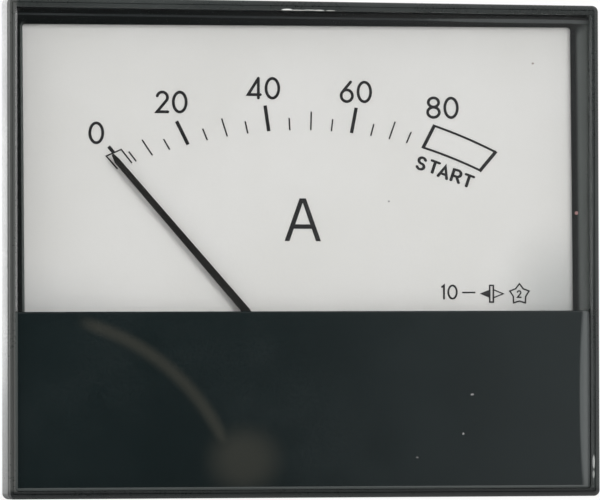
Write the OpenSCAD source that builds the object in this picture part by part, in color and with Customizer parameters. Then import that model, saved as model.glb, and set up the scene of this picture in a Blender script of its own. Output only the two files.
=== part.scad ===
// Rectangular panel ammeter with a moving-magnet movement.
// Each piece is drawn face up: X runs to the right, Y up the dial and Z towards the reader,
// with Z = 0 on the face of the panel that the meter is fixed to.
// upright() then stands it up, with the front looking along -Y and the terminals along +Y.

/* [Front frame] */
// Width of the front frame
front_w = 80; // [76:0.5:96]
// Height of the front frame
front_h = 65; // [64:0.5:80]
// Depth of the front frame's side walls
frame_d = 3.8; // [3.4:0.1:6]
// Radius of the frame's outer corners
frame_corner_r = 1.2; // [0.8:0.1:3]
// Width of the rim that shows around the window and the mask
rim_w = 1.0; // [0.8:0.1:2]
// Chamfer along the rim's outer edge
rim_chamfer = 0.35; // [0.1:0.05:0.6]
// Width of the ledge that carries the window, along the sides
ledge_side = 1.6; // [1.2:0.1:3]
// Width of that ledge along the top and the bottom
ledge_top = 2.05; // [1.8:0.05:3]
// Bevel around the ledge's inner edge
window_bevel = 0.5; // [0.2:0.1:0.8]
// Radius of the window opening's corners
window_corner_r = 1.0; // [0.5:0.1:2]
// Diameter of the small prising hole in each side wall
prise_hole_d = 1.05; // [0.8:0.05:1.2]
// Depth of the prising hole
prise_hole_depth = 1.2; // [0.8:0.1:1.6]

/* [Frame lugs] */
// Width of the four lugs that locate the frame on the case
lug_w = 8; // [5:0.5:10]
// Thickness of a lug
lug_t = 0.7; // [0.5:0.05:0.8]
// Length of a lug
lug_len = 2.5; // [1.5:0.1:3]
// Distance of the lugs from the centre line
lug_x = 22; // [15:0.5:26]
// Clearance around a lug in its pocket
lug_clear = 0.12; // [0.05:0.01:0.15]
// Depth of a lug's root in the frame
lug_root = 0.5; // [0.2:0.1:1]

/* [Window and mask] */
// Gap between the rim and the window or the mask
insert_gap = 0.35; // [0.2:0.05:0.6]
// Depth of the window's face below the rim
insert_recess = 1.0; // [0.6:0.1:1.3]
// Thickness of the window pane
pane_t = 1.2; // [0.9:0.1:1.4]
// Bevel along the window pane's front edges
pane_bevel = 0.25; // [0.1:0.05:0.5]
// Height of the mask's face above the window's face
mask_proud = 0.1; // [0:0.05:0.3]
// Bevel along the mask's front edges
mask_bevel = 0.3; // [0.1:0.05:0.6]
// Gap between the window pane and the mask
joint_gap = 0.1; // [0.05:0.05:0.3]

/* [Case] */
// Step from the frame's sides in to the case's sides
case_inset = 1.2; // [1.15:0.05:1.25]
// Depth of the case's tray from the frame's back to the panel
tray_d = 5.2; // [5:0.1:8]
// Thickness of the tray's floor
floor_t = 2.2; // [1.6:0.1:2.4]
// Radius of the case's corners
case_corner_r = 1.8; // [1:0.1:2.5]
// Diameter of the round body behind the panel
barrel_d = 60; // [58:0.5:62]
// Depth of the round body behind the panel
barrel_len = 28; // [26.5:0.5:40]
// Wall of the round body
barrel_wall = 2; // [1.5:0.1:2]
// Thickness of the case's back wall
back_t = 2; // [1.5:0.1:3]
// Chamfer along the body's back edge
barrel_chamfer = 1; // [0.5:0.1:1.5]

/* [Fixing studs] */
// Diameter of the fixing studs
stud_d = 3; // [2.5:0.5:4]
// Free length of a fixing stud behind the panel face
stud_len = 14; // [8:1:20]
// Distance of a stud from the frame's left or right side
stud_edge_x = 7; // [6.5:0.25:8]
// Distance of a stud from the frame's top or bottom
stud_edge_y = 6.5; // [6.25:0.25:7.5]
// Diameter of a stud's knurled shank in the case
stud_shank_d = 3.8; // [3.4:0.1:4]
// Diameter of a stud's sunk head
stud_head_d = 4.8; // [4.4:0.1:5]
// Thickness of a stud's head
stud_head_t = 1.1; // [0.8:0.1:1.2]
// Diameter of the boss around a stud
stud_boss_d = 7; // [6.8:0.1:7.4]

/* [Dial] */
// Depth of the dial's face below the frame's back
dial_sink = 0.2; // [0:0.05:0.4]
// Thickness of the dial plate
dial_t = 0.5; // [0.3:0.1:0.8]
// Clearance between the dial plate and the case
dial_clear = 0.25; // [0.1:0.05:0.5]
// Height of dial plate hidden behind the mask
dial_hidden = 5.4; // [5:0.1:6.5]
// Radius of the notch in the dial plate around the movement
dial_notch_r = 8.4; // [8.3:0.1:8.8]
// Distance between the two dial screws
dial_screw_pitch = 62; // [60:0.5:64]
// Distance of the dial screws below the mask's top edge
dial_screw_drop = 3; // [2.5:0.1:3.2]
// Diameter of the dial screws
dial_screw_d = 2; // [1.6:0.1:2.5]

/* [Scale] */
// Sideways offset of the pivot and the scale from the centre line
pivot_x = 0.5; // [-1:0.1:1]
// Distance of the pivot below the middle of the front
pivot_down = 17.25; // [16:0.05:17.5]
// Height of the black mask's top edge above the pivot
mask_rise = 9.1; // [9:0.1:9.5]
// Highest value on the scale
scale_max = 80; // [40:20:100]
// Value between two marks
scale_step = 5; // [5:5:10]
// Current at which the magnet stands square to the coil
law_centre = 44.5; // [40:0.5:50]
// Current that turns the magnet by 45 degrees from there
law_spread = 57.8; // [55:0.1:75]
// Turn of the whole scale to the right, in degrees
law_turn = -3.6; // [-5:0.1:0]
// Reach of the pointer's tip past the scale arc's nearest point
tip_reach = 6; // [5:0.1:8]
// Distance of the arc's centre below the pivot
arc_drop = 29.5; // [20:0.5:35]
// Length of the bold marks at 0, 20, 40, 60
mark_long = 3.4; // [2:0.1:4]
// Length of the marks at the other tens
mark_mid = 2.45; // [1.5:0.05:3]
// Length of the marks at the fives
mark_short = 1.6; // [1:0.1:2]
// Width of the bold marks
mark_bold = 0.45; // [0.3:0.05:0.6]
// Width of the fine marks
mark_fine = 0.18; // [0.12:0.02:0.3]
// Thickness of the printed marks
print_t = 0.06; // [0.04:0.01:0.1]
// Angle at which the starting zone begins, right of the dial's middle
start_from = 28.1; // [28:0.1:30]
// Angle at which the starting zone ends
start_to = 41; // [39:0.5:42]
// Height of the starting zone's box
zone_h = 3.1; // [2.5:0.1:4]
// Line width of the box's long sides
zone_line = 0.28; // [0.15:0.01:0.4]
// Angle of the zero mark, left of the dial's middle
zero_mark = 40.5; // [40:0.1:42]
// Width of the square bracket under the zero mark
bracket_w = 2.1; // [1.8:0.1:2.6]
// Height of that bracket over the scale arc
bracket_h = 2.25; // [2:0.05:2.6]
// Length of the bold zero mark on the bracket
zero_len = 0.95; // [0.8:0.05:1.2]

/* [Movement] */
// Thickness of the plate that carries the movement
plate_t = 2; // [1.5:0.1:2.5]
// Depth of the plate's face below the panel face
plate_sink = 1; // [0.8:0.1:1.2]
// Clearance between the plate and the round body
plate_clear = 0.4; // [0.2:0.05:0.6]
// Diameter of the screws that hold the plate
plate_screw_d = 2.4; // [2:0.1:2.6]
// Angle of the plate's screws from the horizontal
plate_screw_angle = 20; // [18:1:24]
// Diameter of the case's columns under the plate
column_d = 6; // [5.6:0.1:6.2]
// Distance of the bridge's pillars from the pivot
pillar_x = 12; // [11:0.5:14]
// Diameter of a pillar
pillar_d = 4; // [3.6:0.1:4.6]
// Width of the bridge
bridge_w = 5.2; // [4.8:0.1:5.4]
// Thickness of the bridge
bridge_t = 1.2; // [1:0.1:1.3]
// Height of the bridge's face above the dial
bridge_rise = 0.6; // [0.5:0.05:0.7]
// Diameter of the jewel screws
jewel_screw_d = 2.4; // [2.2:0.1:2.6]
// Diameter of a jewel
jewel_d = 1.36; // [1.2:0.02:1.4]
// Diameter of the pivoted staff
staff_d = 1; // [0.8:0.05:1.1]
// Diameter of the moving magnet
magnet_d = 11; // [8:0.5:12]
// Thickness of the moving magnet
magnet_t = 3.2; // [2:0.1:3.8]
// Outer diameter of the copper damping cup
cup_d = 16; // [15:0.1:16.4]
// Depth of the damping cup
cup_depth = 8; // [7.8:0.1:8.4]
// Wall of the damping cup
cup_wall = 1; // [0.8:0.1:1.2]
// Wall of the soft-iron shield ring
shield_t = 0.8; // [0.5:0.1:0.8]
// Length, width and thickness of the control magnet
control_magnet = [10, 3, 2];
// Distance of the control magnet below the pivot
control_drop = 7.5; // [7:0.1:7.8]

/* [Pointer] */
// Length of the pointer from the pivot to its tip
pointer_len = 39; // [34:0.5:40]
// Width of the pointer at its root
pointer_root_w = 1.2; // [1:0.05:1.5]
// Width of the pointer near its tip
pointer_tip_w = 0.55; // [0.4:0.05:0.8]
// Thickness of the pointer
pointer_t = 0.4; // [0.3:0.05:0.5]
// Height of the pointer's underside above the dial
pointer_rise = 0.7; // [0.6:0.05:0.8]
// Radius at which the pointer's crank starts
crank_from = 4.6; // [4.4:0.1:5]
// Radius at which the pointer's crank ends
crank_to = 8; // [7.5:0.1:8.2]
// Angle at which the pointer rests, left of the dial's middle
zero_angle = 41.2; // [41:0.1:42]
// Turn of the pointer between its two stops, in degrees
swing = 82.5; // [70:0.5:83.5]
// Distance of the stop pins from the pivot
stop_r = 4.2; // [4:0.1:4.4]
// Diameter of the stop pins
stop_pin_d = 0.9; // [0.7:0.1:1]
// Diameter of the stop pins' sleeves
stop_sleeve_d = 1.5; // [1.3:0.1:1.6]
// Length of the balance arms
balance_arm = 6; // [5:0.1:6.2]
// Diameter of the balance weights
balance_d = 2; // [1.6:0.1:2.2]

/* [Terminals] */
// Diameter of the terminal studs
term_d = 6; // [5:0.5:6]
// Distance between the terminal studs
term_pitch = 28; // [27.5:0.5:29]
// Distance of the terminal studs below the middle of the case
term_drop = 15; // [13:0.5:15]
// Free length of a terminal stud past its last nut
term_free = 7.3; // [4:0.1:12]
// Thickness of the raised boss under a terminal
term_boss_t = 1; // [0.5:0.1:2]
// Diameter of the terminal washers
term_washer_d = 12; // [11:0.5:12.5]
// Thickness of the terminal washers
term_washer_t = 1; // [0.8:0.1:1.4]
// Width across the flats of the terminal nuts
term_nut_af = 10; // [9:0.5:10]
// Thickness of the inner terminal nuts
term_inner_nut_t = 3.2; // [2.5:0.1:4]
// Thickness of the outer terminal nuts
term_outer_nut_t = 4; // [3:0.1:5]
// Thickness of the spring washers
spring_washer_t = 1.5; // [1:0.1:2]
// Width of the copper conductor strap
strap_w = 10; // [8:0.5:10]
// Thickness of the copper conductor strap
strap_t = 1.6; // [1:0.1:1.8]

/* [Hidden] */

$fn = 64;
// How far a cutting tool runs past the face that it cuts
cut = 1;
// Radial clearance of a screw, pin or stud in its hole
fit = 0.05;

// Levels along Z, from the panel's face at 0
frame_z = tray_d;
front_z = frame_z + frame_d;
ledge_z = front_z - insert_recess - pane_t;
prise_rise = 1;
prise_z = frame_z + prise_rise;
dial_z = frame_z - dial_sink;
dial_back_z = dial_z - dial_t;
bridge_z = dial_z + bridge_rise;
bridge_back_z = bridge_z - bridge_t;
plate_z = -plate_sink;
plate_back_z = plate_z - plate_t;
cup_back_z = plate_back_z - cup_depth;
back_z = -barrel_len;
inner_back_z = back_z + back_t;
term_boss_z = back_z - term_boss_t;

// Window, inserts and case outlines
pocket_w = front_w - 2 * rim_w;
pocket_h = front_h - 2 * rim_w;
pocket_r = 0.6;
window_w = pocket_w - 2 * ledge_side;
window_h = pocket_h - 2 * ledge_top;
insert_w = pocket_w - 2 * insert_gap;
insert_h = pocket_h - 2 * insert_gap;
insert_r = 0.5;
mask_top = mask_rise - pivot_down;
mask_bottom = -insert_h / 2;
case_w = front_w - 2 * case_inset;
case_h = front_h - 2 * case_inset;
lug_y = (window_h + case_h) / 4;
bore_r = barrel_d / 2 - barrel_wall;

// Pivot and dial
pivot = [pivot_x, -pivot_down];
dial_w = window_w - 2 * dial_clear;
dial_top = window_h / 2 - dial_clear;
dial_bottom = mask_top - dial_hidden;
dial_corner_r = 0.8;
dial_screw_head_r = 1.8;
dial_screw_head_t = 1.1;
dial_screw_seat = [dial_screw_pitch / 2, mask_top - dial_screw_drop];
dial_boss_r = 2.5;
stud_head_drop = 0.3;
stud_head_z = dial_back_z - stud_head_drop - stud_head_t;

// Nearest distance of the scale arc from the pivot
arc_near = pointer_len - tip_reach;

// Staff, hub and pointer levels
hub_under = 3.2;
hub_z = bridge_back_z - hub_under;
hub_flange_t = 0.7;
hub_r = 2.2;
hub_sleeve_r = 1.4;
arms_z = hub_z + hub_flange_t;
needle_root_z = arms_z + pointer_t;
needle_z = dial_z + pointer_rise;
hub_over = 0.3;
hub_top_z = needle_root_z + pointer_t + hub_over;
crank_shift = 0.2;
balance_t = 0.8;
balance_spread = 30;
balance_arm_w = 0.9;

// Jewel bearings: each screw carries its jewel in a recess at the staff's end
jewel_t = 0.85;
jewel_screw_r = jewel_screw_d / 2;
front_screw_in = 0.8;
front_screw_out = 1;
rear_screw_in = 1.8;
rear_screw_out = 1.4;
front_seat_z = bridge_back_z - front_screw_in;
front_screw_top_z = bridge_z + front_screw_out;
rear_seat_z = cup_back_z + rear_screw_in;
rear_screw_end_z = cup_back_z - rear_screw_out;
jewel_slot_depth = 0.4;
tip_gap = 0.06;
cup_cone = jewel_t / 2;
tip_cone_half = 30;
tip_r = 0.05;
lock_nut_r = 2.2;
lock_nut_t = 0.8;
cup_bottom_t = 1.2;
cup_flange_w = 1;
cup_flange_r = cup_d / 2 + cup_flange_w;
cup_flange_t = 0.8;
shield_gap = 0.4;
shield_r = cup_flange_r + shield_gap;
shield_short = 1;
shield_len = cup_depth - shield_short;
magnet_sink = 2;

// Stops stand beside the pointer's root, where it meets them at each end of its swing
stop_gap = 0.05;
stop_offset = asin((pointer_root_w / 2 + stop_sleeve_d / 2 + stop_gap) / stop_r);
stop_over = 0.5;
stop_top_z = needle_root_z + pointer_t + stop_over;
stop_angles = [zero_angle + stop_offset, zero_angle - swing - stop_offset];

// Plate, columns and bridge
plate_r = bore_r - plate_clear;
column_inset = 0.7;
column_at = bore_r - column_d / 2 - column_inset;
column_web_len = bore_r + barrel_wall / 2 - column_at;
column_angles = [plate_screw_angle, 180 - plate_screw_angle, 180 + plate_screw_angle, -plate_screw_angle];
plate_screw_head_r = 2.2;
plate_screw_head_t = 1.5;
plate_hole_depth = 9;
plate_screw_gap = 1;
plate_screw_len = plate_t + plate_hole_depth - plate_screw_gap;
plate_slot_r = 3;
staff_hole_gap = 1.1;
staff_hole_r = staff_d / 2 + staff_hole_gap;
spigot_r = pillar_d / 4;
bridge_screw_r = pillar_d / 4;
bridge_screw_head_r = 1.7;
bridge_screw_head_t = 0.8;
bridge_hole_depth = 4.2;
bridge_screw_gap = 0.2;
bridge_screw_len = bridge_t + bridge_hole_depth - bridge_screw_gap;
slot_w = 0.4;
head_chamfer = 0.3;
slot_share = 0.45;

// Strap and terminals
strap_gap = 0.8;
strap_arch_z = rear_screw_end_z - strap_gap;
strap_leg_x = (term_pitch - term_nut_af) / 2;
strap_foot = 5;
strap_foot_x = term_pitch / 2 + strap_foot;
bend_r = 2.2;
term_head_t = 3;
term_head_af = 9;
term_head_z = inner_back_z + strap_t;
washer_z = term_boss_z - term_washer_t;
inner_nut_z = washer_z - term_inner_nut_t;
outer_washer_z = inner_nut_z - term_washer_t;
spring_z = outer_washer_z - spring_washer_t;
outer_nut_z = spring_z - term_outer_nut_t;
term_end_z = outer_nut_z - term_free;
thread_chamfer = 0.5;
term_boss_rim = 0.6;
term_hole_r = term_d / 2 + 0.15;
washer_hole_r = term_d / 2 + 0.2;
spring_rim = 0.4;
spring_split = 0.8;
spring_turn = 12;
nut_lean = 0.35;

// Where a nut grips a stud, both are drawn at the thread's mean radius
thread_depth = 0.25;
thread_r = term_d / 2 - thread_depth;

// The tangent law: the angle at which the pointer stands for a current, clockwise from straight up
function angle_of(value) = law_turn + atan((value - law_centre) / law_spread);

// Distance from the pivot to the scale arc in the direction of an angle
function arc_at(angle) =
    sqrt(pow(arc_near + arc_drop, 2) - pow(arc_drop * sin(angle), 2)) - arc_drop * cos(angle);

module upright() {
    rotate([90, 0, 0]) children();
}

// At a distance from the pivot, along an angle that is clockwise from straight up
module at_pivot(angle = 0, r = 0) {
    translate([pivot[0], pivot[1], 0]) rotate([0, 0, -angle]) translate([0, r, 0]) children();
}

module at_columns() {
    for (a = column_angles) rotate([0, 0, a]) translate([column_at, 0, 0]) children();
}

module at_terminals() {
    for (side = [-1, 1]) translate([side * term_pitch / 2, -term_drop, 0]) children();
}

module at_fixing_studs() {
    for (sx = [-1, 1], sy = [-1, 1])
        translate([sx * (front_w / 2 - stud_edge_x), sy * (front_h / 2 - stud_edge_y), 0]) children();
}

module at_dial_screws() {
    for (side = [-1, 1]) translate([side * dial_screw_seat[0], dial_screw_seat[1], 0]) children();
}

module at_pillars() {
    for (side = [-1, 1]) translate([pivot[0] + side * pillar_x, pivot[1], 0]) children();
}

module at_stops() {
    for (a = stop_angles) at_pivot(-a, stop_r) children();
}

module rounded_rect(w, h, r) {
    square([w - 2 * r, h], center = true);
    square([w, h - 2 * r], center = true);
    for (sx = [-1, 1], sy = [-1, 1]) translate([sx * (w / 2 - r), sy * (h / 2 - r)]) circle(r);
}

// A plate with round corners between two levels
module slab(w, h, r, z0, z1) {
    translate([0, 0, z0]) linear_extrude(z1 - z0) rounded_rect(w, h, r);
}

// A plate with round corners whose sides rise straight to mid, then lean out by grow up to z1
module leaning_slab(w, h, r, z0, mid, z1, grow) {
    translate([r - w / 2, 0, 0]) rotate([90, 0, 90]) linear_extrude(w - 2 * r)
        leaning_section(h / 2, z0, mid, z1, grow);
    translate([0, h / 2 - r, 0]) rotate([90, 0, 0]) linear_extrude(h - 2 * r)
        leaning_section(w / 2, z0, mid, z1, grow);
    for (sx = [-1, 1], sy = [-1, 1])
        translate([sx * (w / 2 - r), sy * (h / 2 - r), 0]) rotate_extrude()
            polygon([[0, z0], [r, z0], [r, mid], [r + grow, z1], [0, z1]]);
}

module leaning_section(half, z0, mid, z1, grow) {
    polygon([[-half, z0], [half, z0], [half, mid], [half + grow, z1], [-half - grow, z1], [-half, mid]]);
}

// A plate with round corners whose front edges are bevelled
module bevelled_slab(w, h, r, z0, z1, bevel) {
    leaning_slab(w, h, r, z0, z1 - bevel, z1, -bevel);
}

module rod(r, z0, z1) {
    translate([0, 0, z0]) cylinder(h = z1 - z0, r = r);
}

module ring(r_out, r_in, z0, z1) {
    difference() {
        rod(r_out, z0, z1);
        rod(r_in, z0 - cut, z1 + cut);
    }
}

module hexagon(af) {
    circle(r = af / 2 / cos(30), $fn = 6);
}

// A hexagon nut whose corners are turned off on both faces
module nut(af, t, bore_r) {
    corner_r = af / 2 / cos(30);
    difference() {
        intersection() {
            linear_extrude(t) hexagon(af);
            rotate_extrude() polygon([
                [0, 0], [af / 2, 0], [corner_r, nut_lean], [corner_r, t - nut_lean], [af / 2, t], [0, t]
            ]);
        }
        rod(bore_r, -cut, t + cut);
    }
}

// A slotted screw that points down from the level of its head's seat
module slotted_screw(seat_z, head_r, head_t, shank_r, shank_len) {
    difference() {
        union() {
            rod(head_r, seat_z, seat_z + head_t - head_chamfer);
            translate([0, 0, seat_z + head_t - head_chamfer])
                cylinder(h = head_chamfer, r1 = head_r, r2 = head_r - head_chamfer);
            rod(shank_r, seat_z - shank_len, seat_z);
        }
        translate([-head_r - cut, -slot_w / 2, seat_z + head_t * (1 - slot_share)])
            cube([2 * (head_r + cut), slot_w, head_t]);
    }
}

// The threaded end of a stud, which runs down to a chamfer
module threaded_end(r, z_top, z_end) {
    rod(r, z_end + thread_chamfer, z_top);
    translate([0, 0, z_end]) cylinder(h = thread_chamfer, r1 = r - thread_chamfer, r2 = r);
}

// ---- Front ----

module lugs(clear) {
    for (sx = [-1, 1], sy = [-1, 1])
        translate([sx * lug_x, sy * lug_y, frame_z + (lug_root - lug_len - clear) / 2])
            cube([lug_w + 2 * clear, lug_t + 2 * clear, lug_len + lug_root + clear], center = true);
}

module front_frame() {
    color("#191d1d") {
        difference() {
            bevelled_slab(front_w, front_h, frame_corner_r, frame_z, front_z, rim_chamfer);
            slab(pocket_w, pocket_h, pocket_r, ledge_z, front_z + cut);
            leaning_slab(window_w, window_h, window_corner_r, frame_z - cut, ledge_z - window_bevel,
                ledge_z + cut, window_bevel + cut);
            for (side = [-1, 1])
                translate([side * front_w / 2, 0, prise_z]) rotate([0, 90, 0])
                    cylinder(h = 2 * prise_hole_depth, d = prise_hole_d, center = true);
        }
        lugs(0);
    }
}

module window_pane() {
    pane_top = insert_h / 2;
    pane_bottom = mask_top + joint_gap;
    color("#dfe8ea", 0.25)
        translate([0, (pane_top + pane_bottom) / 2, 0])
            bevelled_slab(insert_w, pane_top - pane_bottom, insert_r, ledge_z, ledge_z + pane_t, pane_bevel);
}

module lower_mask() {
    color("#141919")
        translate([0, (mask_top + mask_bottom) / 2, 0])
            bevelled_slab(insert_w, mask_top - mask_bottom, insert_r, ledge_z, ledge_z + pane_t + mask_proud,
                mask_bevel);
}

// ---- Dial ----

module dial_plate() {
    color("#e6e3dc")
        difference() {
            translate([0, (dial_top + dial_bottom) / 2, 0])
                slab(dial_w, dial_top - dial_bottom, dial_corner_r, dial_back_z, dial_z);
            at_pivot() rod(dial_notch_r, dial_back_z - cut, dial_z + cut);
            at_dial_screws() rod(dial_screw_d / 2 + fit, dial_back_z - cut, dial_z + cut);
        }
}

module dial_screws() {
    color("#b9b9b4")
        at_dial_screws()
            slotted_screw(dial_z, dial_screw_head_r, dial_screw_head_t, dial_screw_d / 2,
                dial_z - floor_t / 2);
}

// A straight printed line of a width between two points
module line(from, to, w) {
    run = to - from;
    translate([from[0], from[1], 0]) rotate([0, 0, atan2(run[1], run[0])])
        translate([-w / 2, -w / 2]) square([norm(run) + w, w]);
}

function polar(angle, r) = [r * sin(angle), r * cos(angle)];

module scale_lines() {
    for (value = [scale_step:scale_step:scale_max - scale_step]) {
        a = angle_of(value);
        bold = value % 20 == 0;
        long = bold ? mark_long : value % 10 == 0 ? mark_mid : mark_short;
        w = bold ? mark_bold : mark_fine;
        rotate(-a) translate([-w / 2, arc_at(a)]) square([w, long]);
    }
}

// A point at an angle, raised over the scale arc
function over_arc(angle, rise) = polar(angle, arc_at(abs(angle)) + rise);

module start_zone() {
    for (rise = [0, zone_h]) line(over_arc(start_from, rise), over_arc(start_to, rise), zone_line);
    for (a = [start_from, start_to]) line(over_arc(a, 0), over_arc(a, zone_h), mark_bold);
}

module zero_bracket() {
    side = asin(bracket_w / 2 / (arc_at(zero_mark) + bracket_h));
    ends = [-zero_mark - side, -zero_mark + side];
    for (a = ends) line(over_arc(a, 0), over_arc(a, bracket_h), mark_fine);
    line(over_arc(ends[0], bracket_h), over_arc(ends[1], bracket_h), mark_fine);
    rotate(zero_mark) translate([-mark_bold / 2, arc_at(zero_mark) + bracket_h])
        square([mark_bold, zero_len]);
}

module scale_marks() {
    color("#1b1b1d")
        at_pivot() translate([0, 0, dial_z]) linear_extrude(print_t) {
            scale_lines();
            start_zone();
            zero_bracket();
        }
}

// ---- Case ----

module case_body() {
    slab(case_w, case_h, case_corner_r, 0, frame_z);
    rod(barrel_d / 2, back_z + barrel_chamfer, cut);
    translate([0, 0, back_z])
        cylinder(h = barrel_chamfer, r1 = barrel_d / 2 - barrel_chamfer, r2 = barrel_d / 2);
    at_terminals() rod(term_washer_d / 2 + term_boss_rim, term_boss_z, back_z + cut);
}

module case_bosses() {
    at_fixing_studs() rod(stud_boss_d / 2, floor_t / 2, dial_back_z);
    at_dial_screws() rod(dial_boss_r, floor_t / 2, dial_back_z);
    at_columns() rod(column_d / 2, inner_back_z - back_t / 2, plate_back_z);
    for (a = column_angles) rotate([0, 0, a])
        translate([column_at, -column_d / 4, inner_back_z - back_t / 2])
            cube([column_web_len, column_d / 2, plate_back_z - inner_back_z + back_t / 2]);
}

module rear_case() {
    color("#1a1c1c")
        difference() {
            union() {
                difference() {
                    case_body();
                    slab(window_w, window_h, window_corner_r, floor_t, frame_z + cut);
                    rod(bore_r, inner_back_z, floor_t + cut);
                }
                case_bosses();
            }
            lugs(lug_clear);
            at_fixing_studs() {
                rod(stud_shank_d / 2 + fit, -cut, frame_z);
                rod(stud_head_d / 2 + fit, stud_head_z, frame_z);
            }
            at_dial_screws() rod(dial_screw_d / 2 + fit, floor_t / 2, frame_z);
            at_columns() rod(plate_screw_d / 2 + fit, plate_back_z - plate_hole_depth, plate_back_z + cut);
            at_terminals() rod(term_hole_r, term_boss_z - cut, inner_back_z + cut);
        }
}

module fixing_studs() {
    color("#b4b2ac")
        at_fixing_studs() {
            threaded_end(stud_d / 2, 0, -stud_len);
            rod(stud_shank_d / 2, 0, stud_head_z);
            rod(stud_head_d / 2, stud_head_z, stud_head_z + stud_head_t);
        }
}

// ---- Movement that stands still ----

module movement_plate() {
    color("#d8d4c8")
        difference() {
            rod(plate_r, plate_back_z, plate_z);
            translate([0, bore_r / 2, 0])
                slab(bore_r, bore_r / 2, plate_slot_r, plate_back_z - cut, plate_z + cut);
            at_pivot() rod(staff_hole_r, plate_back_z - cut, plate_z + cut);
            at_columns() rod(plate_screw_d / 2 + fit, plate_back_z - cut, plate_z + cut);
            at_pillars() rod(spigot_r + fit, plate_back_z - cut, plate_z + cut);
            at_stops() rod(stop_pin_d / 2 + fit, plate_back_z - cut, plate_z + cut);
        }
}

module plate_screws() {
    color("#c2a04e")
        at_columns()
            slotted_screw(plate_z, plate_screw_head_r, plate_screw_head_t, plate_screw_d / 2,
                plate_screw_len);
}

module bridge_pillars() {
    color("#c2a04e")
        at_pillars() difference() {
            union() {
                rod(pillar_d / 2, plate_z, bridge_back_z);
                rod(spigot_r, plate_back_z, plate_z);
            }
            rod(bridge_screw_r + fit, bridge_back_z - bridge_hole_depth, bridge_back_z + cut);
        }
}

module front_bridge() {
    color("#c2a04e")
        difference() {
            translate([pivot[0], pivot[1], 0])
                slab(2 * pillar_x + bridge_w, bridge_w, bridge_w / 2 - 0.01, bridge_back_z, bridge_z);
            at_pillars() rod(bridge_screw_r + fit, bridge_back_z - cut, bridge_z + cut);
            at_pivot() rod(jewel_screw_r + fit, bridge_back_z - cut, bridge_z + cut);
        }
}

module bridge_screws() {
    color("#b9b9b4")
        at_pillars()
            slotted_screw(bridge_z, bridge_screw_head_r, bridge_screw_head_t, bridge_screw_r,
                bridge_screw_len);
}

// A jewel screw: seat_z is the end with the jewel in it, end_z the slotted end
module jewel_screw(seat_z, end_z) {
    up = end_z > seat_z ? 1 : -1;
    difference() {
        rod(jewel_screw_r, min(seat_z, end_z), max(seat_z, end_z));
        translate([0, 0, seat_z + up * jewel_t / 2])
            cylinder(h = jewel_t + 0.1, r = jewel_d / 2 + fit, center = true);
        translate([0, 0, end_z]) cube([2 * jewel_screw_d, slot_w, 2 * jewel_slot_depth], center = true);
    }
}

// A cup jewel with its cone open towards the staff; side is 1 when the staff comes from below
module jewel(seat_z, side) {
    translate([0, 0, seat_z])
        rotate([side > 0 ? 0 : 180, 0, 0])
            difference() {
                cylinder(h = jewel_t, d = jewel_d);
                translate([0, 0, -0.001]) cylinder(h = cup_cone, r1 = cup_cone, r2 = 0);
            }
}

module front_jewel_screw() {
    color("#c2a04e") at_pivot() jewel_screw(front_seat_z, front_screw_top_z);
}

module rear_jewel_screw() {
    color("#c2a04e") at_pivot() jewel_screw(rear_seat_z, rear_screw_end_z);
}

module front_jewel() {
    color("#8a2338") at_pivot() jewel(front_seat_z, 1);
}

module rear_jewel() {
    color("#8a2338") at_pivot() jewel(rear_seat_z, -1);
}

module jewel_lock_nuts() {
    color("#c2a04e")
        at_pivot() {
            translate([0, 0, bridge_z]) nut(2 * lock_nut_r * cos(30), lock_nut_t, jewel_screw_r + fit);
            translate([0, 0, cup_back_z - lock_nut_t])
                nut(2 * lock_nut_r * cos(30), lock_nut_t, jewel_screw_r + fit);
        }
}

module damping_cup() {
    color("#b06a45")
        at_pivot() difference() {
            union() {
                rod(cup_d / 2, cup_back_z, plate_back_z);
                rod(cup_flange_r, plate_back_z - cup_flange_t, plate_back_z);
            }
            rod(cup_d / 2 - cup_wall, cup_back_z + cup_bottom_t, plate_back_z + cut);
            rod(jewel_screw_r + fit, cup_back_z - cut, plate_back_z);
        }
}

module shield_ring() {
    color("#6f7275")
        at_pivot() ring(shield_r + shield_t, shield_r, plate_back_z - shield_len, plate_back_z);
}

module control_magnet_bar() {
    color("#3c3e42")
        at_pivot(180, control_drop) translate([0, 0, plate_z + control_magnet[2] / 2])
            cube(control_magnet, center = true);
}

module stop_pins() {
    color("#b9b9b4")
        at_stops() rod(stop_pin_d / 2, plate_back_z, stop_top_z);
}

module stop_sleeves() {
    color("#e8e4da")
        at_stops()
            ring(stop_sleeve_d / 2, stop_pin_d / 2 + fit / 2, plate_z, stop_top_z);
}

// ---- Movement that swings, drawn with the pointer at zero ----

module at_zero() {
    at_pivot(-zero_angle) children();
}

module pivot_staff() {
    tip_len = (staff_d / 2 - tip_r) / tan(tip_cone_half);
    front_tip = front_seat_z + cup_cone - tip_gap;
    rear_tip = rear_seat_z - cup_cone + tip_gap;
    color("#9a9da0")
        at_zero() rotate_extrude() polygon([
            [0, rear_tip], [tip_r, rear_tip], [staff_d / 2, rear_tip + tip_len],
            [staff_d / 2, front_tip - tip_len], [tip_r, front_tip], [0, front_tip]
        ]);
}

module pointer_hub() {
    color("#c2a04e")
        at_zero() difference() {
            union() {
                rod(hub_r, hub_z, arms_z);
                rod(hub_sleeve_r, arms_z, hub_top_z);
            }
            rod(staff_d / 2 + fit / 2, hub_z - cut, hub_top_z + cut);
        }
}

// The pointer's edge view: a flat root, a crank that lifts it over the dial, and the blade
module needle_profile() {
    polygon([
        [0, needle_root_z], [crank_from, needle_root_z], [crank_to, needle_z],
        [pointer_len, needle_z], [pointer_len, needle_z + pointer_t],
        [crank_to - crank_shift, needle_z + pointer_t], [crank_from - crank_shift, needle_root_z + pointer_t],
        [0, needle_root_z + pointer_t]
    ]);
}

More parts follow.
